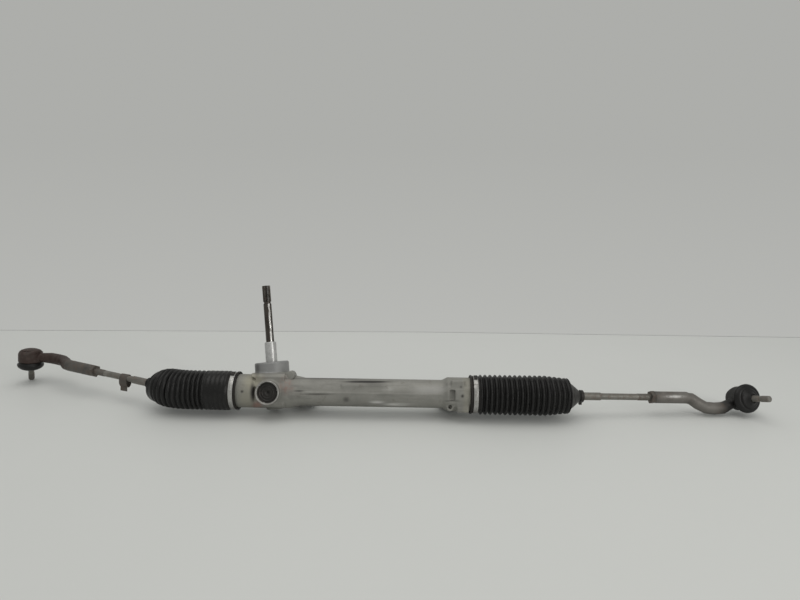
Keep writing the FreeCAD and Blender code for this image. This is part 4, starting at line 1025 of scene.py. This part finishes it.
def build_band(side):
    """Crimped strip with a ridge along its middle, an overlap with two windows and a dark closed ear."""
    place = socket_line(side) @ Matrix.Translation((0, 0, BAND[side] * MM))
    half = 3.6
    rows = [(29.75, -half), (30.7, -half), (30.75, -1.3), (31.1, -0.7), (31.1, 0.7), (30.75, 1.3),
            (30.7, half), (29.75, half)]
    ring = lathe(f"{side}_clamp_strip", rows, place, LOOKS["band"], 128, 0.2, 2)
    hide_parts(f"{side}_boot_band")
    settle(ring, "housing")
    upward = place.to_3x3().inverted() @ Vector((0, -0.12, 1))
    top = math.atan2(upward.y, upward.x)
    lean = 1 if side == "left" else -1
    overlap = arc(30.6, top - 0.5 * lean, top + 0.15 * lean, 14)[::lean]
    strip(f"{side}_clamp_overlap", place, overlap, 5.6, 0.7, "band", "housing")
    ear = [(30.9 + 2.3 * math.sin(math.pi * k / 12) ** 0.5, (k / 12 - 0.5) * 11.0) for k in range(13)]
    turned_ear = place @ Matrix.Rotation(top, 4, "Z")
    strip(f"{side}_clamp_ear", turned_ear, ear, 5.4, 0.8, "dark", "housing")
    for k, offset in enumerate((0.28, 0.40)):
        window = arc(30.75, top - offset * lean, top - (offset + 0.03) * lean, 3)[::lean]
        strip(f"{side}_clamp_window_{k}", place, window, 3.4, 0.75, "dark", "housing")


# Tie rods and ends

def wound_thread(name, place, radius, start, length, pitch, look, body):
    piece = mesh_piece(name, [(0, 0, 0)], [], LOOKS[look])
    tree("thread").grow(piece, {"Radius": radius * MM, "Pitch": pitch, "Length": length * MM,
                                "Ridge": pitch * 0.42, "Material": LOOKS[look]})
    piece.data.transform(place @ Matrix.Translation((0, 0, start * MM)))
    face_outward(piece)
    settle(piece, body)


# Outer socket: outside radius, how far its domed back stands behind the ball, where the dome starts
HEAD_RADIUS = 19.9
HEAD_BACK = 15.5
DOME_START = 2


def head_dome(reach):
    """Height share of the head's domed back at a distance from its axis in millimetres."""
    return np.maximum(1 - np.minimum(reach / HEAD_RADIUS, 0.999) ** 2.8, 0.04) ** 0.42


def build_head_cap(side):
    """Rolled-in closing plate, domed on with the head round it."""
    place = stud_socket(side)
    flat = local_points(point_array(frame["nodes"][f"{side}_head_cap"]), place) / MM
    edge = np.hypot(flat[:, 0], flat[:, 1]).max() - 0.1
    rows = [(r, -DOME_START - (HEAD_BACK - DOME_START) * head_dome(r)) for r in np.linspace(0, edge, 11)]
    rows += [(edge, rows[-1][1] + 0.6), (edge * 0.6, -13.5), (0, -13.5)]
    look = "cap" if side == "left" else "dark"
    cap = disc_lathe(f"{side}_rolled_cap", rows, place, LOOKS[look], 72)
    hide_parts(f"{side}_head_cap")
    settle(cap, f"{side}_rod")


def round_head(piece, side):
    """Domes the closed back of the socket, where the cap is rolled in."""
    place = stud_socket(side)
    points = local_points(point_array(piece), place) / MM
    reach = np.hypot(points[:, 0], points[:, 1])
    dome = head_dome(reach)
    clear_of_arm = (1 - smooth_step(points[:, 0], 9, 18)) * (reach < 22)
    behind = clear_of_arm * (points[:, 2] < -DOME_START)
    points[:, :2] *= (1 + 0.06 * clear_of_arm * (points[:, 2] < 9))[:, None]
    domed = -DOME_START + (points[:, 2] + DOME_START) * dome
    points[:, 2] += (domed - points[:, 2]) * behind
    set_points(piece, world_points(points * MM, place))


def build_rods(settings):
    for side in SIDES:
        rod, stud = f"{side}_rod", f"{side}_stud"
        wound_thread(f"{rod}_thread", rod_line(side), 5.1, 158, 21.5, settings.rod_pitch, "strap", rod)
        wound_thread(f"{stud}_thread", stud_line(side), 4.6, 38.9, 13.6, settings.stud_pitch, "strap", stud)
        end = softened(f"{side}_outer_end", f"{side}_end_forging", 0.9 * MM, 5, LOOKS["forged"])
        round_head(end, side)
        along = local_points(point_array(end), rod_line(side))[:, 2] / MM
        if side == "left":
            mark(end, "brown", smooth_step(along, 236, 262))
        else:
            seen = photo_pixels(point_array(end))
            mark(end, "black", smooth_step(along, 296, 312) * 0.95)
            mark(end, "pale", 1 - smooth_step(along, 285, 305))
            # Painted highlight: a thin light line along the right barrel
            mark(end, "bright", blots(seen, (675, 396.5, 9, 1.4, 1)))
            brown = blots(seen, (711, 397, 7, 6, 1), (726, 391, 5, 5, 1))
            mark(end, "brown", np.clip(brown, 0, 1) * 0.9)
        settle(end, f"{side}_rod")
        build_head_cap(side)
    rod = rod_line("left")
    hanging = facing(rod @ Vector((0, 0, 113 * MM)), rod.to_3x3() @ Vector((0.06, -0.2, 1)), (0, 0, 1))
    turns = np.linspace(0, 2 * math.pi, 40, endpoint=False)
    loop = [(-4.9 + 10.8 * math.cos(angle), 7.3 * math.sin(angle)) for angle in turns]
    clip = strip("left_slipped_clip", hanging, loop, 14.0, 0.9, "strap", "left_rod", closed=True)
    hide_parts("left_loose_clip")
    tail = [(-13.6, -4.4), (-16.6, -4.9), (-19.6, -5.2), (-22.4, -5.4)]
    strip("left_slipped_clip_tail", hanging, tail, 12.5, 0.9, "strap", "left_rod")


# Dust cover: (radius, height over the ball, share of the stud's lean), from the collar to the stud
DUST_OUTLINE = (
    (17.9, 9.2, 0), (18.9, 9.8, 0), (19.1, 11.0, 0.01), (20.3, 11.6, 0.03), (22.2, 12.3, 0.07),
    (23.6, 13.6, 0.14), (24.0, 15.0, 0.22), (23.5, 16.6, 0.32), (22.0, 18.0, 0.42), (19.9, 19.0, 0.5),
    (17.2, 19.8, 0.6), (14.6, 20.5, 0.7), (12.2, 21.3, 0.82), (10.4, 22.3, 0.95), (9.4, 23.2, 1.0),
    (8.8, 24.2, 1.0), (7.9, 24.7, 1.0))
DUST_WALL = 1.5
DUST_AROUND = 80
DUST_COLLAR = 19.1
DUST_SPLIT = 0.6
# Heights of each half's span from one body to the next
DUST_BENDS = {"low": (13, 19.6), "high": (19.9, 20.7)}


def dust_rings(side, rows):
    """Rings of points that lean over from the socket's line to the stud's."""
    socket = stud_socket(side)
    whole = z_of(socket).rotation_difference(z_of(stud_line(side)))
    points = []
    for r, z, lean in rows:
        basis = Quaternion().slerp(whole, lean).to_matrix() @ socket.to_3x3()
        for k in range(DUST_AROUND):
            a = 2 * math.pi * k / DUST_AROUND
            points.append(socket.translation + basis @ (Vector((r * math.cos(a), r * math.sin(a), z)) * MM))
    return points


def build_dust_boot(side):
    """Squashed rubber dome in two halves."""
    socket = stud_socket(side)
    whole = z_of(socket).rotation_difference(z_of(stud_line(side)))
    middle = Quaternion().slerp(whole, DUST_SPLIT) @ z_of(socket) * MM
    slimmer = 0.45 if side == "left" else 0
    outer = [(r - max(0, r - DUST_COLLAR) * slimmer, z, lean) for r, z, lean in DUST_OUTLINE]
    inner = [(max(r - DUST_WALL, 6.3), z - (DUST_WALL if 0 < lean < 1 else 0), lean)
             for r, z, lean in reversed(outer)]
    rows = outer + inner
    pad = f"{side}_stud_pad"
    halves = (("low", [row for row in rows if row[2] <= DUST_SPLIT], (f"{side}_rod", pad)),
              ("high", [row for row in rows if row[2] >= DUST_SPLIT], (pad, f"{side}_stud_ring")))
    for word, chosen, bodies in halves:
        faces = ring_faces(len(chosen), DUST_AROUND)
        piece = mesh_piece(f"{side}_dust_cover_{word}", dust_rings(side, chosen), faces, LOOKS["boot"])
        face_outward(piece)
        mark(piece, "crest", [0.35] * len(piece.data.vertices))
        low, high = DUST_BENDS[word]
        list(bodies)
        socket.translation + middle * low
        socket.translation + middle * high
        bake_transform(piece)
        if word == "low":
            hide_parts(f"{side}_dust_boot")


# Look of each part that shows as its solid; {} stands for left and right
CARRIED = {
    "shaft": ("pinion_shaft",), "collar": ("pinion_sleeve",), "cast": ("pinion_lower_cap",),
    "steel": ("rack_bar", "pinion_bearing_outer", "pinion_bearing_inner", "bearing_retainer", "yoke_spring",
              "rack_yoke", "{}_inner_socket", "{}_mount_sleeve"),
    "rod": ("{}_tie_rod", "{}_ball_stud"), "strap": ("{}_lock_nut",), "dark": ("right_neck_clip",),
    "plastic": ("rack_bush", "pinion_lower_bush", "{}_inner_pad", "{}_inner_ring", "{}_stud_pad",
                "{}_stud_ring"),
}


def paint_nodes():
    for look, names in CARRIED.items():
        for name in names:
            for node in sorted({name.format(side) for side in SIDES}):
                paint(node, look)


# Stage

def stage_look(name, colour, roughness):
    look = Look(name, roughness, 0.0, 0.25)
    cloud = look.mix(look.noise(3, 4), colour, shaded(colour, 0.965))
    look.feed("Base Color", look.mix(look.noise(40, 3) * 0.25, cloud, shaded(colour, 0.95)))
    return look.material


# Table: half width, front edge, where its back edge bends, how far its left back corner comes forward
TABLE_HALF = 4
TABLE_FRONT = -3
TABLE_BACK = LEFT_BALL.y + 478 * MM
TABLE_BEND = 0.1
TABLE_SLANT = 0.14
# Width and height of the painted shade strip along the table's back edge
GAP_WIDTH = 3.2 * MM
GAP_HEIGHT = 0.2 * MM

# Name, place, target, width, height of each lamp
LAMPS = {"key_power": ("overhead", (-0.1, -0.1, 1.9), (0.0, 0.0, 0), 1.7, 1.7),
         "tube_power": ("tall_tube", (1.35, -1.15, 0.75), (-0.1, -0.05, 0.1), 0.12, 1.2)}


def table_edge(forward, height):
    """The table's back edge, from the left, moved forward and up."""
    back = TABLE_BACK - forward
    corners = ((-TABLE_HALF, back - TABLE_SLANT), (TABLE_BEND, back), (TABLE_HALF, back))
    return [(x, y, height) for x, y in corners]


def build_table(settings):
    table = mesh_piece("table_top", [(-TABLE_HALF, TABLE_FRONT, 0), (TABLE_HALF, TABLE_FRONT, 0),
                                     *reversed(table_edge(0, 0))], [(0, 1, 2, 3, 4)],
                       stage_look("table_top", tuple(settings.table), 0.5), False)
    # Painted shade: a darker strip along the table's back edge, where the gap behind it is in shade
    line = table_edge(GAP_WIDTH, GAP_HEIGHT) + table_edge(0, GAP_HEIGHT)
    gap_shade = mesh_piece("table_gap", line, [(0, 1, 4, 3), (1, 2, 5, 4)],
                     stage_look("table_gap", (0.42, 0.425, 0.41), 0.8), False)


def build_room(settings):
    """Even light from all round, and a plain background for whatever looks past the table."""
    world = bpy.data.worlds.new("room")
    world.use_nodes = True
    sky = world.node_tree
    rays = add_node(sky, "ShaderNodeLightPath")
    camera, glossy, through = (Shade(sky, rays.outputs[f"Is {kind} Ray"])
                               for kind in ("Camera", "Glossy", "Transmission"))
    seen = (camera + glossy + through).clamp()
    toward = add_node(sky, "ShaderNodeTexCoord")
    parts = add_node(sky, "ShaderNodeSeparateXYZ", {0: toward.outputs["Generated"]})
    rise = Shade(sky, parts.outputs["Z"]).between(-0.28, 0.0)
    backdrop = blended(sky, rise, shaded(tuple(settings.wall), 1.13), tuple(settings.wall))
    colour = blended(sky, seen, shaded((0.87, 0.88, 0.87), settings.room), backdrop)
    sky.links.new(colour.socket, sky.nodes["Background"].inputs["Color"])
    bpy.context.scene.world = world


def build_lamps(settings):
    for power, (name, where, target, wide, tall) in LAMPS.items():
        lamp = bpy.data.lights.new(name, "AREA")
        lamp.shape = "RECTANGLE"
        lamp.size = wide
        lamp.size_y = tall
        lamp.energy = getattr(settings, power)
        lamp.color = (1.0, 0.985, 0.96)
        thing = new_object(name, lamp)
        thing.location = where
        thing.rotation_euler = (Vector(target) - Vector(where)).to_track_quat("-Z", "Y").to_euler()


def build_camera(settings):
    data = bpy.data.cameras.new("photo_camera")
    data.sensor_width = 36.0
    data.lens = settings.lens
    camera = new_object("photo_camera", data)
    camera.matrix_world = camera_place()
    bpy.context.scene.camera = camera


# Operators and panel

class RACK_OT_stage(bpy.types.Operator):
    """Table, background, lights and the photograph's camera"""
    bl_idname = "rack.stage"
    bl_label = "Set Stage"

    def execute(self, context):
        settings = context.scene.rack_stage
        build_table(settings)
        build_room(settings)
        build_lamps(settings)
        build_camera(settings)
        context.scene.view_settings.view_transform = "Standard"
        return {"FINISHED"}


class RACK_OT_materials(bpy.types.Operator):
    """Procedural materials, and the ones on the parts carried over from the model"""
    bl_idname = "rack.materials"
    bl_label = "Make Materials"

    def execute(self, context):
        make_looks(context.scene)
        paint_nodes()
        return {"FINISHED"}


class RACK_OT_housing(bpy.types.Operator):
    """Casting, adjuster plug, shaft seal and mounting bushes"""
    bl_idname = "rack.housing"
    bl_label = "Build Housing"

    def execute(self, context):
        build_casting(context.scene.rack_housing)
        build_gearbox_parts()
        return {"FINISHED"}


class RACK_OT_bellows(bpy.types.Operator):
    """Both bellows and their clamps"""
    bl_idname = "rack.bellows"
    bl_label = "Build Bellows"

    def execute(self, context):
        for side in SIDES:
            build_bellows(side, context.scene.rack_bellows)
            build_band(side)
        return {"FINISHED"}


class RACK_OT_rods(bpy.types.Operator):
    """Threads, forged ends, dust covers and the slipped clip"""
    bl_idname = "rack.rods"
    bl_label = "Build Rods and Ends"

    def execute(self, context):
        build_rods(context.scene.rack_rods)
        for side in SIDES:
            build_dust_boot(side)
        return {"FINISHED"}


class RACK_PT_panel(bpy.types.Panel):
    bl_label = "Steering Rack"
    bl_idname = "RACK_PT_panel"
    bl_space_type = "VIEW_3D"
    bl_region_type = "UI"
    bl_category = "Steering Rack"

    def draw(self, context):
        for name, group in SETTINGS:
            box = self.layout.box()
            for field in group.__annotations__:
                box.prop(getattr(context.scene, name), field)
        for name in ("stage", "materials", "housing", "bellows", "rods"):
            self.layout.operator(f"rack.{name}")


SETTINGS = (("rack_housing", HousingSettings), ("rack_bellows", BellowsSettings),
            ("rack_rods", RodSettings), ("rack_stage", StageSettings))
CLASSES = (*(group for name, group in SETTINGS), RACK_OT_stage, RACK_OT_materials, RACK_OT_housing,
           RACK_OT_bellows, RACK_OT_rods, RACK_PT_panel)


def register():
    for cls in CLASSES:
        bpy.utils.register_class(cls)
    for name, group in SETTINGS:
        setattr(bpy.types.Scene, name, PointerProperty(type=group))


def unregister():
    for name, group in SETTINGS:
        delattr(bpy.types.Scene, name)
    for cls in reversed(CLASSES):
        bpy.utils.unregister_class(cls)


def main():
    register()
    bpy.ops.rack.stage()
    bpy.ops.rack.materials()
    bpy.ops.rack.housing()
    bpy.ops.rack.bellows()
    bpy.ops.rack.rods()


if __name__ == "__main__":
    main()
